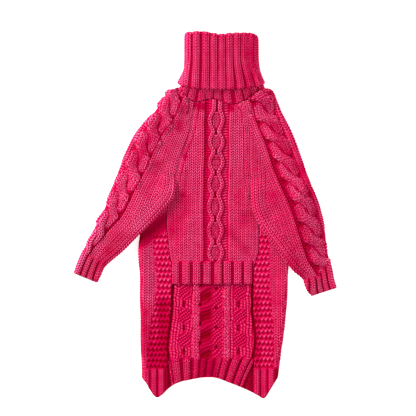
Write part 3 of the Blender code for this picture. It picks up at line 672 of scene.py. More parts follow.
def side_turn(y, side, columns):
    radius = fold_radius(y, side)[:, None]
    turn = math.pi * np.arange(columns) / columns
    x = edge_of(BACK, side, y)[:, None] - side * (HALF + radius - radius * np.sin(turn))
    z = HALF + radius + radius * np.cos(turn)
    return np.array((x, np.broadcast_to(y[:, None], x.shape), z))


def floor_part(y, columns):
    left, right = columns_of(BACK, y)
    wrapped = y < ARMPIT + 0.001
    left = left + np.where(wrapped, HALF + fold_radius(y, -1), 0)
    right = right - np.where(wrapped, HALF + fold_radius(y, 1), 0)
    low, high = WINDOW_X
    narrow = y > 60
    stations = [
        np.where(narrow, mix(left, right, share), place)
        for place, share in zip((left, low, high, right), (0, 0.2, 0.8, 1.0))
    ]
    x = spread(stations, columns)
    return np.array((x, np.broadcast_to(y[:, None], x.shape), np.full(x.shape, HALF)))


def beads(u, v):
    """Height and crowns of narrow wales, each a string of small beads."""
    string = bump(u % 1.0 - 0.5, 0.46)
    return string, string * cosine(0.66, 0.34, v + 0.37 * np.floor(u) + 0.3 * (u % 1.0))


def wrapped(distance, pitch):
    return (distance + pitch / 2) % pitch - pitch / 2


def window_face(x, y):
    """The wrong side of the back's cables, where it shows below the belly."""
    left, right = columns_of(FLAP_EDGE, y)
    v = y / COURSE + 0.5 * uneven(x, y, 15.0)
    left_u, right_u = (x - left - 3.2) / BEAD_WALES[0], (x - 32.6) / BEAD_WALES[1]
    string_u = np.where(x < BRAID_MIDDLE, left_u, right_u)
    form, crown = beads(string_u + 0.22 * uneven(x, y, 17.0), v)
    # Painted shade over the whole window.
    painted_shade = np.full(x.shape, WINDOW_PAINTED_SHADE)
    for hole_x, hole_y in WINDOW_HOLES:
        from_hole = wrapped(y - hole_y, HOLE_PITCH)
        middle = step(8.5, 6.5, np.abs(x - hole_x - 1.5))
        slant = (y - 0.8 * (x - hole_x)) / 4.6 + 0.3 * uneven(x, y, 13.0)
        stroke = cosine(0.5, 0.5, slant)
        dots = stroke * cosine(0.6, 0.4, (x + 0.5 * y) / 3.4)
        crossing = middle * step(4.5, 7.5, np.abs(from_hole))
        crown = mix(crown, dots, crossing)
        form = mix(form, 0.4 + 0.9 * stroke, crossing)
        hole = step(1.15, 0.6, np.hypot((x - hole_x) / 2.1, from_hole / 5.6))
        form = form - HOLE_DEPTH * hole
        # Painted shade in the holes.
        painted_shade = np.maximum(painted_shade, HOLE_PAINTED_SHADE * hole)
    braid = step(15.0, 13.6, np.abs(x - BRAID_MIDDLE))
    from_pit = wrapped(BRAID_PIT[1] - y, BRAID_PITCH)
    down = (from_pit + 0.3 * (x - BRAID_PIT[0])) / BRAID_PITCH
    near_left = step(12.0, 5.0, x)
    lobe = cosine(0.5, 0.5, down - 0.2)
    pit = step(1.1, 0.5, np.hypot((x - BRAID_PIT[0]) / 3.0, from_pit / 3.2))
    low = step(1.1, 0.5, np.hypot((x - 14.4) / 2.6, wrapped(from_pit - 4.8, BRAID_PITCH) / 2.6))
    folds = step(0.2, 0.9, cosine(0.5, 0.5, (y - 0.45 * x) / 5.4 + 0.35 * uneven(x, y, 17.0)))
    slants = cosine(0.5, 0.5, (y - 0.9 * x) / 5.0 + 0.35 * uneven(x, y, 16.0))
    slants = slants * cosine(0.62, 0.38, (x + 0.6 * y) / 3.9)
    lobed = (0.25 + 0.55 * lobe * folds) * cosine(0.7, 0.3, (x + 0.5 * y) / 3.3)
    form = mix(form, mix(0.2 + 1.1 * slants, 1.9 * lobe - 0.6 + 0.7 * folds, near_left), braid)
    form = form - 2.2 * pit - 1.8 * low
    crown = mix(crown, mix(slants, lobed, near_left), braid)
    # Painted shade between the braid's lobes and in its pits.
    painted_shade = mix(painted_shade, mix(0.1, 0.6 + 0.8 * (1 - lobe), near_left), braid)
    painted_shade = np.maximum(painted_shade, HOLE_PAINTED_SHADE * np.maximum(pit, low))
    for place in WINDOW_CHAINS:
        lean = 0.09 * np.clip(-180.0 - y, 0, None) * np.sign(place)
        from_chain = x - place + lean - 0.5 * np.sin(y / 8.0)
        on = bump(from_chain, 2.1)
        shown = step(0.1, 0.5, on)
        form = mix(form, 1.9 * on, shown)
        crown = mix(crown, knit(from_chain / 4.2 + 0.5, (v + 0.05 * place) / 1.3), shown)
        # Less painted shade on the chains.
        painted_shade = painted_shade * (1 - on)
    to_right = right - x - 0.9 * uneven(0 * x, y, 21.0)
    gap = np.maximum(step(4.0, 1.0, x - left), step(4.4, 1.6, to_right))
    # Painted shade in the gaps beside the flaps, where the crowns are taken away too.
    return form * (1 - gap), crown ** 0.85 * (1 - gap), np.maximum(painted_shade, GAP_PAINTED_SHADE * gap), v


def make_back():
    starts = (BACK["y"][0], ARMPIT, BELLY_END, HEM_ROWS, HEM["y"][0])
    y = spread([np.array(start) for start in starts], [n * BLOCK_ROWS for n in BACK_ROW_BLOCKS])
    flap_columns = FLAP_BLOCKS * BLOCK_COLUMNS
    parts = (
        flap(y, -1, flap_columns),
        side_turn(y, -1, BLOCK_COLUMNS),
        floor_part(y, [n * BLOCK_COLUMNS for n in FLOOR_BLOCKS]),
        side_turn(y, 1, BLOCK_COLUMNS)[:, :, ::-1],
        flap(y, 1, flap_columns)[:, :, ::-1],
    )
    x, rows, z = np.concatenate(parts, axis=2)
    bend = np.clip((HEM_ROWS - rows) / (HEM_ROWS - HEM["y"][0]), 0, 1)
    rows = np.where(bend > 0, mix(HEM_ROWS, read(HEM, "y", x), bend), rows)
    columns = x.shape[1]
    turned = flap_columns + BLOCK_COLUMNS // 2
    on_flap = np.zeros(x.shape, bool)
    on_flap[:, :turned] = on_flap[:, -turned:] = True

    window, window_crown, window_painted_shade, window_v = window_face(x, rows)
    gathered = x + 0.0065 * (HEM_RIBS + 8 - rows) * (x + 20.0)
    rib_u, rib = rib_wales(gathered, WINDOW_RIBS)
    rib = rib ** 1.6
    hem = step(HEM_RIBS + 20, HEM_RIBS + 15, rows)
    window = mix(window, ribbed(rib, 1.2), hem)
    window_crown = mix(window_crown, knit(rib_u, window_v), hem)
    # Painted shade in the middle of the hem and in its rib valleys.
    hem_painted_shade = 0.35 + 0.5 * step(16.0, 9.0, np.abs(x - 3.0))
    window_painted_shade = mix(window_painted_shade, np.maximum(1.8 * (1 - step(0, 0.8, rib)), hem_painted_shade), hem)
    low, high = WINDOW_X
    here = step(low - 7, low - 1, x) * step(high + 7, high + 1, x)

    on_left = x < BACK_MIDDLE
    side = np.where(on_left, -1, 1)
    strip_edge = np.where(on_left, *columns_of(STRIP, rows))
    in_strip = step(-1.2, 1.2, (strip_edge - x) * side) * step(STRIP_TOP, STRIP_TOP - 2.5, rows)
    shade = creases(x, rows, SHADE_FLAPS)
    flap_v = rows / COURSE + 0.18 * uneven(x, rows, 27.0)
    flap_u = (x - np.where(on_left, -86.5, 108.5)) / WALE
    flap_crown = mix(knit(flap_u, flap_v), garter(flap_u, flap_v / 1.06), in_strip)
    line = bump((strip_edge - x) * side + 2.6, 2.4) * step(-24.0, -28.0, rows)
    flap_form = 0.45 * in_strip + 0.5 * line
    flap_rib_u, flap_rib = rib_wales(x, FLAP_RIBS)
    flap_hem = step(HEM_RIBS + 8, HEM_RIBS + 2, rows)
    flap_form = mix(flap_form, ribbed(flap_rib, RIB_VALLEY), flap_hem)
    flap_crown = mix(flap_crown, knit(flap_rib_u, flap_v), flap_hem)
    # Painted shade on the flaps: a little everywhere, more on the garter strips and their hollows,
    # along the SHADE_FLAPS strokes and in the hem's rib valleys.
    flap_painted_shade = 0.06 + in_strip * (0.18 + 0.25 * (1 - flap_crown)) + shade
    flap_painted_shade = mix(flap_painted_shade, rib_painted_shade(flap_rib, 0.3 + RIB_PAINTED_SHADE), flap_hem)
    strength = mix(1.8, 1.1, in_strip) * (1 - 0.3 * np.clip(shade, 0, 1))

    trough = np.where(on_flap, 0, creases(x, rows, CREASES_UNDER))
    over = HALF + np.where(on_flap, 0, (window + 1.05 * STITCH * (window_crown - 0.5)) * here)
    under = HALF + np.where(on_flap, flap_form + strength * (flap_crown - 0.5), trough)
    from_fold = np.abs(x - np.where(on_left, -86, 110))
    crease = creases(x, rows, CREASES_FLAPS) * step(0, 10, from_fold)
    z = z + np.where(on_flap & (rows < ARMPIT + 5), crease, 0)

    blocks = (sum(BACK_ROW_BLOCKS), columns // BLOCK_COLUMNS)
    above, wide = BACK_ROW_BLOCKS[0], FLAP_BLOCKS + 1
    present = np.ones(blocks, bool)
    present[:above, :wide] = present[:above, -wide:] = False
    fine = np.zeros((2,) + blocks, bool)
    fine[1, above:, :wide] = fine[1, above:, -wide:] = True
    first = wide + FLOOR_BLOCKS[0] - 1
    fine[0, sum(BACK_ROW_BLOCKS[:2]) - 1:, first:first + FLOOR_BLOCKS[1] + 2] = True
    marks = marks_of(
        np.where(on_flap, flap_u, 0), flap_v, 1 - np.where(on_flap, flap_crown, window_crown),
        np.where(on_flap, flap_painted_shade, window_painted_shade), fine,
    )
    points = np.stack((x, rows, z), axis=-1)
    return cloth("back_knit", points, (over, under), present, fine, marks)


# ---------------------------------------------------------------- sleeves

def support(x, y, side, ramp):
    """Height of what a sleeve lies on, which rises over the flap within the ramp."""
    from_fold = (edge_of(BACK, side, y) - x) * side
    corner = edge_of(BACK, side, ARMPIT)
    reach = abs(edge_of(BELLY, side, ARMPIT + FLAP_RISE) - corner)
    flap_top = ARMPIT + FLAP_RISE * np.abs(x - corner) / reach
    inside = np.minimum(from_fold, flap_top - y)
    return SLEEVE_ON_FLAP * step(-ramp, -4.0, inside)


def way_to_edge(start, course, furthest, edge, side):
    """How far each row can run before it meets the edge of another piece, by halving."""
    near, far = np.zeros_like(furthest), furthest
    for _ in range(24):
        half = (near + far) / 2
        x, y = start[0] + course[0] * half, start[1] + course[1] * half
        beyond = (edge_of(edge, side, y) + side * SEAM * 1.2 - x) * side > 0
        near, far = np.where(beyond, near, half), np.where(beyond, half, far)
    return near


def sleeve_grid(source, row, side, sewn_to, joined):
    """Middle points of a sleeve's cloth, round it from the inner edge below to the one above."""
    o_x, o_y, i_x, i_y, rope, line, size = columns_of(source, row)
    width = np.hypot(i_x - o_x, i_y - o_y)
    course = (i_x - o_x) / width, (i_y - o_y) / width
    sewn = row < sewn_to
    to_belly = way_to_edge((o_x, o_y), course, width + 8, BELLY, side)
    to_back = way_to_edge((o_x, o_y), course, width, BACK, side)
    width = np.where(sewn, np.maximum(to_belly + SEAM * 3, width), width)
    quarter = math.pi / 2 * FOLD_RADIUS
    edge = HALF + FOLD_RADIUS
    around = quarter * 2 + width - 2 * edge
    upper_end = np.where(sewn, quarter + width - edge, around - quarter)
    fold_end = -around + quarter
    under_end = np.where(row < joined, -(quarter + to_back - edge), fold_end * 0.75)
    under_end = np.maximum(under_end, fold_end + 0.5)
    reach = ROPE_HALF * size
    low = np.maximum(np.minimum(-quarter - 1.5, rope - reach - 4), under_end + 2.0)
    rope_low = np.maximum(rope - reach - 0.5, low + 2.0)
    rope_high = np.minimum(rope + reach + 0.5, upper_end - 3.0)
    gutter_end = np.minimum(np.maximum(rope + line - 1.7, rope_high + 0.8), upper_end - 1.5)
    top = np.maximum(around, upper_end + 1)
    place = spread(
        (-around, fold_end, under_end, low, rope_low, rope_high, gutter_end, upper_end, top),
        SLEEVE_COLUMNS,
    )
    r, w, far = FOLD_RADIUS, width[:, None], around[:, None]
    distance = np.abs(place)
    outer_turn = np.clip(distance / r, 0, math.pi / 2)
    inner_turn = np.clip((far - distance) / r, 0, math.pi / 2)
    from_outer = HALF + r * (1 - np.cos(outer_turn)) + np.clip(distance - quarter, 0, None)
    from_inner = w - HALF - r * (1 - np.cos(inner_turn))
    free = ~sewn[:, None]
    at_inner = free & (far - distance < quarter)
    d = np.where(at_inner, from_inner, from_outer)
    lift = r * np.where(at_inner, np.sin(inner_turn), np.sin(outer_turn))
    puffy = step(0.0, 2.5, row - sewn_to)[:, None]
    at_fold = mix(step(1.5, 5.5, w - d), step(4.0, 18.0, w - d), puffy)
    slack = (2 * r - CLOTH - LAYER) * step(4.0, 18.0, d) * np.where(free, at_fold, 1.0)
    x, y = o_x[:, None] + course[0][:, None] * d, o_y[:, None] + course[1][:, None] * d
    tight, soft = support(x, y, side, TIGHT_RAMP), support(x, y, side, SOFT_RAMP)
    upper = mix(tight, soft, step(0.0, 16.0, w - d)) * (place > 0)
    base = np.where(place > 0, upper, tight) + HALF
    z = np.where(place > 0, base + r + lift - slack, base + r - lift)
    top, outside = (SHOULDER_LEFT, x < -24) if side < 0 else (SHOULDER_RIGHT, x > 60)
    y = y + (read(top, "y", x[0]) - y[0]) * step(1.6, 0.0, row)[:, None]
    z = z + SHOULDER_RISE * step(1.9, 0.5, row)[:, None] * outside * (place > 0) * step(0, 9, d)
    cables = rope[:, None], line[:, None], size[:, None]
    return np.stack((x, y, z), axis=-1), place, cables, np.clip(w - d, 0, None), free


def make_sleeve(name, source, side, sewn_to, joined, soft, shade):
    last = source["row"][-1]
    row = np.linspace(0, last, SLEEVE_ROWS + 1)
    points, place, cables, from_inner, free = sleeve_grid(source, row, side, sewn_to, joined)
    rope, line_in, size = cables
    middle = np.argmin(np.abs(place - rope), axis=1)
    path = points[np.arange(len(row)), middle, :2]
    along = np.concatenate(([0], np.cumsum(np.linalg.norm(np.diff(path, axis=0), axis=1))))
    v = -along[:, None] / COURSE + 0.16 * uneven(points[..., 0], points[..., 1], 25.0)
    phase = 2 * math.pi * (along[:, None] - TURN_START) / ROPE_TURN
    away = place - rope
    line_away = np.where(away > 0, line_in, OUTER_LINE * size)
    sharp = 0.5 + 0.5 * size

    strands = []
    for strand in (0.0, math.pi):
        turn = phase + strand
        swing = np.sin(turn) * (1.5 - 0.5 * np.sin(turn) ** 2)
        across = away * -side - size * STRAND_SWING * swing
        height = ROPE * sharp * (0.62 + 0.38 * np.cos(turn))
        height = height * bump(across, size * STRAND_HALF) ** 0.8
        lean = 1.5 * STRAND_SWING * size * 2 * math.pi / ROPE_TURN * np.cos(turn) ** 3
        strand_v = v - 0.7 * lean * across / COURSE
        strands.append((height, sharpen(knit(across / STRAND_WALE + 0.5, strand_v))))
    (first, first_crown), (second, second_crown) = strands
    rope_form = np.maximum(first, second)
    rope_crown = np.where(first > second, first_crown, second_crown)
    between = step(1.7, 0.1, np.abs(first - second)) * step(0.2, 0.8, np.minimum(first, second))
    rope_form = rope_form - 0.6 * between
    on_rope = step(0.0, 0.9, rope_form)
    beside = np.abs(away)
    reach = np.minimum(ROPE_HALF * size, line_away - 3.0)
    gutter = step(reach - 1.5, reach + 0.5, beside) * step(line_away - 0.6, line_away - 3.8, beside)
    line = bump(beside - line_away, 2.4)
    u = (beside - line_away) / WALE + 0.5 + 0.07 * uneven(points[..., 0], points[..., 1], 33.0)
    edge_u = from_inner / EDGE_WALE
    by_edge = step(20.0, 17.0, from_inner) * step(1.4, 2.2, u)
    field = mix(knit(u, v), knit(edge_u, v), by_edge > 0.5)
    bars = ladder(v, (beside - reach + 1) / (line_away - 1.2 - reach))
    crown = np.where(beside < line_away - 2.2, bars, field)
    crown = mix(crown, rope_crown, on_rope)
    form = rope_form - GUTTER * gutter + 0.5 * line
    groove = np.abs(edge_u % 1.0 - 0.5) * 2
    by_edge = by_edge * np.where(free, 1.0, 0.4)
    form = form - 0.8 * by_edge * step(0.6, 1.0, groove)
    # Painted shade in the gutters, less on the outer side, in the notches beside the rope, along
    # the grooves by the inner edge and where one strand passes under the other.
    on_outside = np.where(away < 0, 0.3, 1.15)
    off_rope = step(1.6, 0.4, rope_form) * (beside < reach)
    painted_shade = np.maximum(gutter * on_outside, off_rope * on_outside)
    painted_shade = np.maximum(painted_shade, 0.6 * by_edge * step(0.5, 1.0, groove))
    painted_shade = np.maximum(painted_shade, 0.85 * between)
    from_middle = np.abs(2 * np.clip(place / (np.abs(place) + from_inner + 1), 0, 1) - 1)
    cuff = step(last - 2.4, last - 1.8, row[:, None] + 0.35 * (1 + side) * from_middle)
    rib_place = place / CUFF_RIB % 1.0 - 0.5
    rib = bump(rib_place * CUFF_RIB, CUFF_RIB_HALF)
    form = mix(form, ribbed(rib, CUFF_VALLEY), cuff)
    crown = mix(crown, knit(rib_place * CUFF_RIB / CUFF_WALE, v), cuff)
    # Painted shade in the cuff's rib valleys.
    painted_shade = mix(painted_shade, rib_painted_shade(rib), cuff)
    x, y = points[..., 0], points[..., 1]
    # Painted shade along this sleeve's SHADE strokes, and painted light along those below 0.
    painted_shade = painted_shade + creases(x, y, shade) * (place > -6)
    upper = place > 0
    inner_edge = np.where(free, from_inner, from_inner + 6)
    folds = creases(x, y, soft)
    puff = (SLEEVE_PUFF + 0.5 * side) * step(0, 9, inner_edge) * step(2, 22, place)
    puff = puff + folds * step(2, 9, from_inner)
    under_layer = 0.5 * np.clip(folds, 0, None) * step(-3, -12, place) * step(3, 12, from_inner)
    points[..., 2] += np.where(upper, puff, under_layer)
    crown = crown[:, :-1]
    points, form, painted_shade, u, v = points[:, :-1], form[:, :-1], painted_shade[:, :-1], u[:, :-1], v[:, :-1]
    facing = grid_normals(points, True)[..., 2] * (-1 if side > 0 else 1)
    shown = step(-0.35, 0.3, facing)
    over = HALF + (form + STITCH * (crown - 0.5)) * shown

    blocks = (SLEEVE_ROWS // BLOCK_ROWS, sum(SLEEVE_COLUMNS) // BLOCK_COLUMNS)
    ends = np.cumsum(SLEEVE_COLUMNS) // BLOCK_COLUMNS
    block_row = row[:-1:BLOCK_ROWS]
    sewn, open_ = block_row < sewn_to, block_row < joined
    present = np.ones(blocks, bool)
    present[np.ix_(open_, range(ends[0], ends[1]))] = False
    present[np.ix_(sewn, range(0, ends[0]))] = False
    present[np.ix_(sewn, range(ends[6], ends[7]))] = False
    fine = np.zeros((2,) + blocks, bool)
    fine[0, :, ends[2] - 1:] = True
    fine[0, :, :ends[0]] = True
    fine &= present
    # Painted shade fades on faces turned downwards, while painted light stays.
    marks = marks_of(u, v, 1 - mix(1.0, crown, shown), np.minimum(painted_shade, painted_shade * shown), fine)
    walls = over, np.full(over.shape, HALF)
    return cloth(name, points, walls, present, fine, marks, closed=True, flip=side > 0)


# ---------------------------------------------------------------- collar

def collar_ring(source, row, columns, follow=0.0):
    """One ring round the collar; follow tells how closely its front follows the neck's edge."""
    y, left_y, right_y, back_y, left, right, front, back = columns_of(source, row)
    radius = (front - back) / 2
    x0, x1 = left + HALF + radius, right - HALF - radius
    straight, half_round = x1 - x0, math.pi * radius
    lengths = (straight, half_round, straight, half_round)
    column = np.arange(columns) * sum(COLLAR_SHARE) / columns
    place = np.interp(column, np.cumsum((0,) + COLLAR_SHARE), np.cumsum((0,) + lengths))
    right_turn = np.clip((place - straight) / radius, 0, math.pi)
    left_turn = np.clip((place - 2 * straight - half_round) / radius, 0, math.pi)
    on_front = np.clip(place, 0, straight)
    on_back = np.clip(place - straight - half_round, 0, straight)
    x = x0 + on_front - on_back + radius * (np.sin(right_turn) - np.sin(left_turn))
    z = back + radius + radius * np.cos(right_turn + left_turn)
    sideways = np.clip(2 * (x - (x0 + x1) / 2) / (right - left), -1, 1)
    side_y = np.where(sideways < 0, left_y, right_y)
    front_y = mix(y, side_y, np.abs(sideways) ** 2.4)
    first = [source[n][0] for n in ("y", "left_y", "right_y")]
    first_y = mix(first[0], np.where(sideways < 0, first[1], first[2]), np.abs(sideways) ** 2.4)
    front_y = front_y + (read(NECK, "y", x) - first_y) * follow
    upper = (z - back) / (front - back)
    return np.stack((x, mix(back_y, front_y, upper), z), axis=-1)


def nearest_ridge(x, centres):
    """The middle of the ridge that is nearest to each point."""
    nearest = np.abs(x - centres).argmin(axis=0)
    return np.take_along_axis(centres, nearest[None], axis=0)[0]


def make_collar():
    columns = COLLAR_BLOCKS * BLOCK_COLUMNS
    inner_rows, turn_rows, outer_rows = (n * BLOCK_ROWS for n in COLLAR_ROW_BLOCKS)
    inside = [
        collar_ring(COLLAR_IN, row, columns, follow)
        for row, follow in enumerate((1.0, 0.85, 0.5, 0.2, 0.0, 0.0, 0.0))
    ]
    outside = [collar_ring(COLLAR_OUT, row, columns) for row in COLLAR_OUT["row"]]
    inner, outer = inside[-1], outside[0]
    middle, reach = (inner + outer) / 2, COLLAR_TOP - HALF - COLLAR_IN["y"][-1]
    turns = []
    for k in range(1, turn_rows):
        turn = math.pi * k / turn_rows
        ring = middle + (inner - outer) / 2 * math.cos(turn)
        ring[:, 1] += reach * math.sin(turn)
        turns.append(ring)
    in_y, out_y = COLLAR_IN["y"], COLLAR_OUT["y"]
    up = smooth(in_y, inside, np.linspace(in_y[0], in_y[-1], inner_rows + 1))
    down = smooth(out_y[::-1], outside[::-1], np.linspace(out_y[0], out_y[-1], outer_rows + 1))
    points = np.concatenate((up, turns, down))
    points[..., 1] -= read(TOP_SINK, "sink", points[..., 0]) * step(205.0, 236.0, points[..., 1])
    rows = len(points) - 1
    travel = np.linalg.norm(np.diff(points[:, columns // 5], axis=0), axis=1)
    v = (np.concatenate(([0], np.cumsum(travel))) / COLLAR_COURSE)[:, None] * np.ones((1, columns))

    x, y, z = points[..., 0], points[..., 1], points[..., 2]
    facing = grid_normals(points, True)[..., 2]
    row = np.arange(rows + 1)[:, None]
    on_outer = step(inner_rows - 2, inner_rows + 4, row)
    down_t = np.clip((COLLAR_TOP - y) / (COLLAR_TOP - 160.0), 0, 1)
    lean_in = step(0.45, 1.0, down_t)
    shown_x = np.array([mix(a, b, lean_in) for a, b in zip(RIDGES_TOP, RIDGES_EDGE)])
    centre = nearest_ridge(x, shown_x)
    gap = np.diff(np.asarray(RIDGES_TOP)).mean()
    half = COLLAR_RIB_HALF * (1 + 0.12 * lean_in)
    rib_u = (x - centre) / half
    rib = bump(x - centre, half + 0.3)
    front = step(-0.1, 0.5, facing)
    around_u = np.arange(columns)[None, :] / 16.0 + 0 * x
    side_rib = bump((around_u % 1.0 - 0.5) * gap, half)
    side_u = (around_u % 1.0 - 0.5) * 2
    rib = mix(side_rib, rib, front > 0.5)
    rib_u = mix(side_u, rib_u, front > 0.5)
    crown = knit(rib_u, v)
    out_form = ribbed(rib, 1.3)
    over_shown = on_outer * step(-0.75, -0.1, facing)
    over = HALF + (out_form + 1.2 * STITCH * (crown - 0.5)) * over_shown
    hem_edge = step(rows + 1, rows - 7, row)
    over = over * mix(0.9, 1.0, hem_edge)

    band_x = np.asarray(RIDGES_NECK)
    t_band = np.clip((y - 146.0) / 18.0, 0, 1)
    centres = band_x[:, None, None] + (12.0 - band_x[:, None, None]) * 0.12 * t_band
    band_centre = nearest_ridge(x, centres)
    band_rib = bump(x - band_centre, BAND_RIB_HALF)
    band_u = (x - band_centre) / 5.0
    band_crown = knit(band_u, v)
    band_shown = step(9 * BLOCK_ROWS, 7 * BLOCK_ROWS, row) * step(0.2, -0.4, facing)
    under = HALF + (ribbed(band_rib, RIB_VALLEY) + STITCH * (band_crown - 0.5)) * band_shown
    turning = (row > inner_rows) & (row < inner_rows + turn_rows)
    under = under - 0.9 * turning
    over = over - 0.7 * step(0.9, 0.4, np.abs(facing)) * (row < inner_rows)

    blocks = (rows // BLOCK_ROWS, columns // BLOCK_COLUMNS)
    present = np.ones(blocks, bool)
    fine = np.zeros((2,) + blocks, bool)
    block_facing = facing[:-1:BLOCK_ROWS, ::BLOCK_COLUMNS]
    after, before = np.roll(block_facing, 1, 1), np.roll(block_facing, -1, 1)
    fine[0] = np.maximum(block_facing, np.maximum(after, before)) > -0.8
    fine[0, :inner_rows // BLOCK_ROWS] = False
    fine[1] = np.minimum(block_facing, before) < 0.3
    fine[1, 9:] = False
    marks = marks_of(around_u, v, 0 * x, 0 * x, fine)
    crowns = mix(1.0, crown, over_shown), mix(1.0, band_crown, band_shown)
    marks["hollow"] = 1 - np.stack(crowns)
    # Painted light over the collar's left part, growing towards its left end, and painted shade
    # between x = 40 and 66 mm.
    painted_light_and_shade = 0.35 * step(40.0, 60.0, x) * step(66.0, 60.0, x)
    painted_light_and_shade = painted_light_and_shade - 0.25 * step(0.0, -16.0, x) - 0.5 * step(-18.0, -24.0, x)
    # Painted shade over the outer collar, least on the ribs' crowns.
    outer_painted_shade = 1.18 - step(0.1, 0.8, rib) + painted_light_and_shade
    outer_painted_shade = np.minimum(outer_painted_shade, outer_painted_shade * over_shown)
    # Painted shade on the neck band below the collar, least on its ribs.
    marks["painted_shade"] = np.stack((outer_painted_shade, (0.8 - 0.6 * step(0.1, 0.8, band_rib)) * band_shown))
    return cloth("collar_knit", points, (over, under), present, fine, marks, closed=True)


# ---------------------------------------------------------------- wool

# PLAIN is the wool's own colour; LIT is a painted highlight for the stitches' crowns; DARK is
# painted shade for hollows and low places and also the colour of random flecks.
DARK = (0.25, 0.0, 0.008, 1.0)
PLAIN = (0.69, 0.0, 0.080, 1.0)
LIT = (0.92, 0.20, 0.43, 1.0)
FUZZ_HEIGHT = 0.0005     # in metres, like the stitches on plain faces
BUMP_HEIGHT = 0.0011


def fill(node, values):
    for name, value in values.items():
        node.inputs[name].default_value = value


def wool(name, seed):
    """Pink wool: a painted highlight on the crowns, random in strength, painted shade in hollows
    and low places, flecks, fuzz and, on plain faces, stitches as bump.
    """
    material = bpy.data.materials.new(name)
    material.use_nodes = True
    tree = material.node_tree
    shader = tree.nodes["Principled BSDF"]
    link = tree.links.new

    def calc(operation, *inputs, clamp=False):
        node = tree.nodes.new("ShaderNodeMath")
        node.operation = operation
        node.use_clamp = clamp
        connect(zip(node.inputs, inputs))
        return node.outputs[0]

    def connect(pairs):
        for socket, value in pairs:
            if isinstance(value, bpy.types.NodeSocket):
                link(value, socket)
            else:
                socket.default_value = value

    def mark(name):
        node = tree.nodes.new("ShaderNodeAttribute")
        node.attribute_name = name
        return node.outputs["Fac"]

    wale, course, plain, hollow, painted_shade = map(mark, ("wale", "course", "plain", "hollow", "painted_shade"))
    inward = calc("MULTIPLY", calc("PINGPONG", wale, 0.5), 2.0)
    across = calc("FRACT", calc("ADD", course, calc("MULTIPLY", inward, LEAN)))
    leg = calc("SINE", calc("MULTIPLY", across, math.pi))
    ends = calc("SINE", calc("MULTIPLY", inward, math.pi))
    crown = calc("MULTIPLY", leg, calc("ADD", calc("MULTIPLY", ends, 0.6), 0.4))
    drawn = calc("MULTIPLY", calc("SUBTRACT", 1.0, crown), plain)
    between = calc("MAXIMUM", hollow, drawn)

    place = tree.nodes.new("ShaderNodeTexCoord").outputs["Object"]
    shift = tree.nodes.new("ShaderNodeMapping")
    fill(shift, {"Location": (seed, seed * 0.7, 0)})
    link(place, shift.inputs["Vector"])

    def noise(scale, detail, roughness=0.6):
        node = tree.nodes.new("ShaderNodeTexNoise")
        fill(node, {"Scale": scale, "Detail": detail, "Roughness": roughness})
        link(shift.outputs["Vector"], node.inputs["Vector"])
        return node.outputs["Fac"]

    def blend(factor, a, b):
        node = tree.nodes.new("ShaderNodeMix")
        node.data_type = "RGBA"
        connect(((node.inputs["Factor"], factor), (node.inputs["A"], a), (node.inputs["B"], b)))
        return node.outputs["Result"]

    # The painted highlight: LIT on the stitches' crowns, random in strength, less where there is
    # painted shade.
    dye_and_highlight = calc("MULTIPLY_ADD", noise(90.0, 3.0), 1.1, 0.14, clamp=True)
    raised = calc("POWER", calc("SUBTRACT", 1.0, between), 4.9)
    lit = calc("MULTIPLY", raised, calc("SUBTRACT", dye_and_highlight, painted_shade), clamp=True)
    yarn_and_highlight = blend(lit, PLAIN, LIT)
    # Painted shade: DARK in the stitches' hollows and more where the painted_shade attribute is
    # high; the flecks are random.
    fade = calc("MULTIPLY", calc("POWER", between, 1.2), 0.5)
    lowest = calc("MAXIMUM", calc("SUBTRACT", painted_shade, 0.2), 0.0)
    low = calc("MULTIPLY", lowest, calc("MULTIPLY_ADD", between, 0.36, 0.3))
    dark = calc("ADD", fade, low, clamp=True)
    fleck = calc("MULTIPLY_ADD", noise(1400.0, 2.0), 0.5, -0.2)
    dark = calc("ADD", dark, calc("MULTIPLY", fleck, 0.22), clamp=True)
    link(blend(dark, yarn_and_highlight, DARK), shader.inputs["Base Color"])

    fuzz = tree.nodes.new("ShaderNodeBump")
    fill(fuzz, {"Distance": FUZZ_HEIGHT, "Strength": 0.5})
    link(noise(2200.0, 2.0, 0.7), fuzz.inputs["Height"])
    stitches = tree.nodes.new("ShaderNodeBump")
    fill(stitches, {"Distance": BUMP_HEIGHT})
    link(calc("MULTIPLY", crown, plain), stitches.inputs["Height"])
    link(fuzz.outputs["Normal"], stitches.inputs["Normal"])
    link(stitches.outputs["Normal"], shader.inputs["Normal"])

    fill(shader, {
        "Roughness": 0.92,
        "Specular IOR Level": 0.02,
        "Subsurface Weight": 0.12,
        "Subsurface Radius": (1.0, 0.1, 0.2),
        "Subsurface Scale": 0.003,
        "Sheen Weight": 0.012,
        "Sheen Roughness": 0.3,
        "Sheen Tint": (1.0, 0.42, 0.6, 1.0),
    })
    return material


# ---------------------------------------------------------------- the sweater

back = make_back()
belly = make_belly()
sleeve_left = make_sleeve(
    "sleeve_left_knit", SLEEVE_LEFT, -1, SEWN_LEFT, JOINED_LEFT, CREASES_LEFT, SHADE_LEFT)
sleeve_right = make_sleeve(
    "sleeve_right_knit", SLEEVE_RIGHT, 1, SEWN_RIGHT, JOINED_RIGHT, CREASES_RIGHT, SHADE_RIGHT)
collar = make_collar()

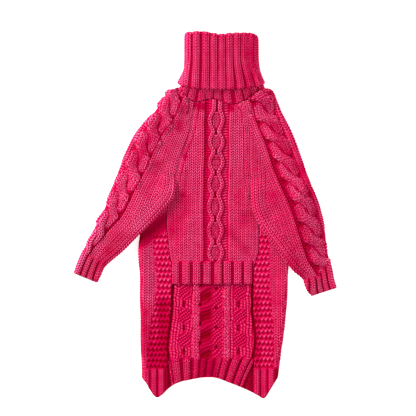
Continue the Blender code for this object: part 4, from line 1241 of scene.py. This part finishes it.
for piece, node, slot, seed in (
    (back, "back", "back_knit", 1.0),
    (belly, "belly", "belly_knit", 2.0),
    (sleeve_left, "sleeve_left", "sleeve_knit", 3.0),
    (sleeve_right, "sleeve_right", "sleeve_knit", 4.0),
    (collar, "collar", "collar_rib", 5.0),
):
    piece.data.materials.append(wool(node + "_wool", seed))
    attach(piece, "root")
    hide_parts(node)


# ---------------------------------------------------------------- floor, light and camera

VIEW_WIDTH = 0.5408          # what the picture takes in at the floor
VIEW_CENTRE = (0.0036, 0.0082)
CAMERA_HEIGHT = 3.0
SENSOR = 36.0
FLOOR_SIZE = 8.0
PAPER = (0.93, 0.93, 0.93, 1.0)
WHITE = (1.0, 1.0, 1.0, 1.0)
SKY_STRENGTH = 0.44

bpy.ops.mesh.primitive_plane_add(size=FLOOR_SIZE)
floor = bpy.context.object
floor.name = "floor"
paper = bpy.data.materials.new("paper")
paper.use_nodes = True
fill(paper.node_tree.nodes["Principled BSDF"], {
    "Base Color": PAPER, "Roughness": 0.9, "Emission Color": WHITE, "Emission Strength": 0.65,
})
floor.data.materials.append(paper)

world = bpy.data.worlds.new("studio")
world.use_nodes = True
fill(world.node_tree.nodes["Background"], {"Color": WHITE, "Strength": SKY_STRENGTH})
bpy.context.scene.world = world


def lamp(name, place, size, power):
    """A square lamp that points at the sweater's middle."""
    light = bpy.data.lights.new(name, "AREA")
    light.shape = "SQUARE"
    light.size = size
    light.energy = power
    made = bpy.data.objects.new(name, light)
    bpy.context.scene.collection.objects.link(made)
    made.location = place
    direction = -np.array(place)
    made.rotation_euler = Vector(direction).to_track_quat("-Z", "Y").to_euler()


lamp("key", (-1.5, 1.1, 1.15), size=0.7, power=65.0)
lamp("fill", (1.4, -0.6, 1.6), size=1.6, power=23.0)

camera_data = bpy.data.cameras.new("camera")
camera = bpy.data.objects.new("camera", camera_data)
bpy.context.scene.collection.objects.link(camera)
camera.location = (VIEW_CENTRE[0], VIEW_CENTRE[1], CAMERA_HEIGHT)
camera_data.sensor_width = SENSOR
camera_data.lens = SENSOR * CAMERA_HEIGHT / VIEW_WIDTH
camera_data.clip_end = 20.0
bpy.context.scene.camera = camera
bpy.context.scene.view_settings.view_transform = "Standard"
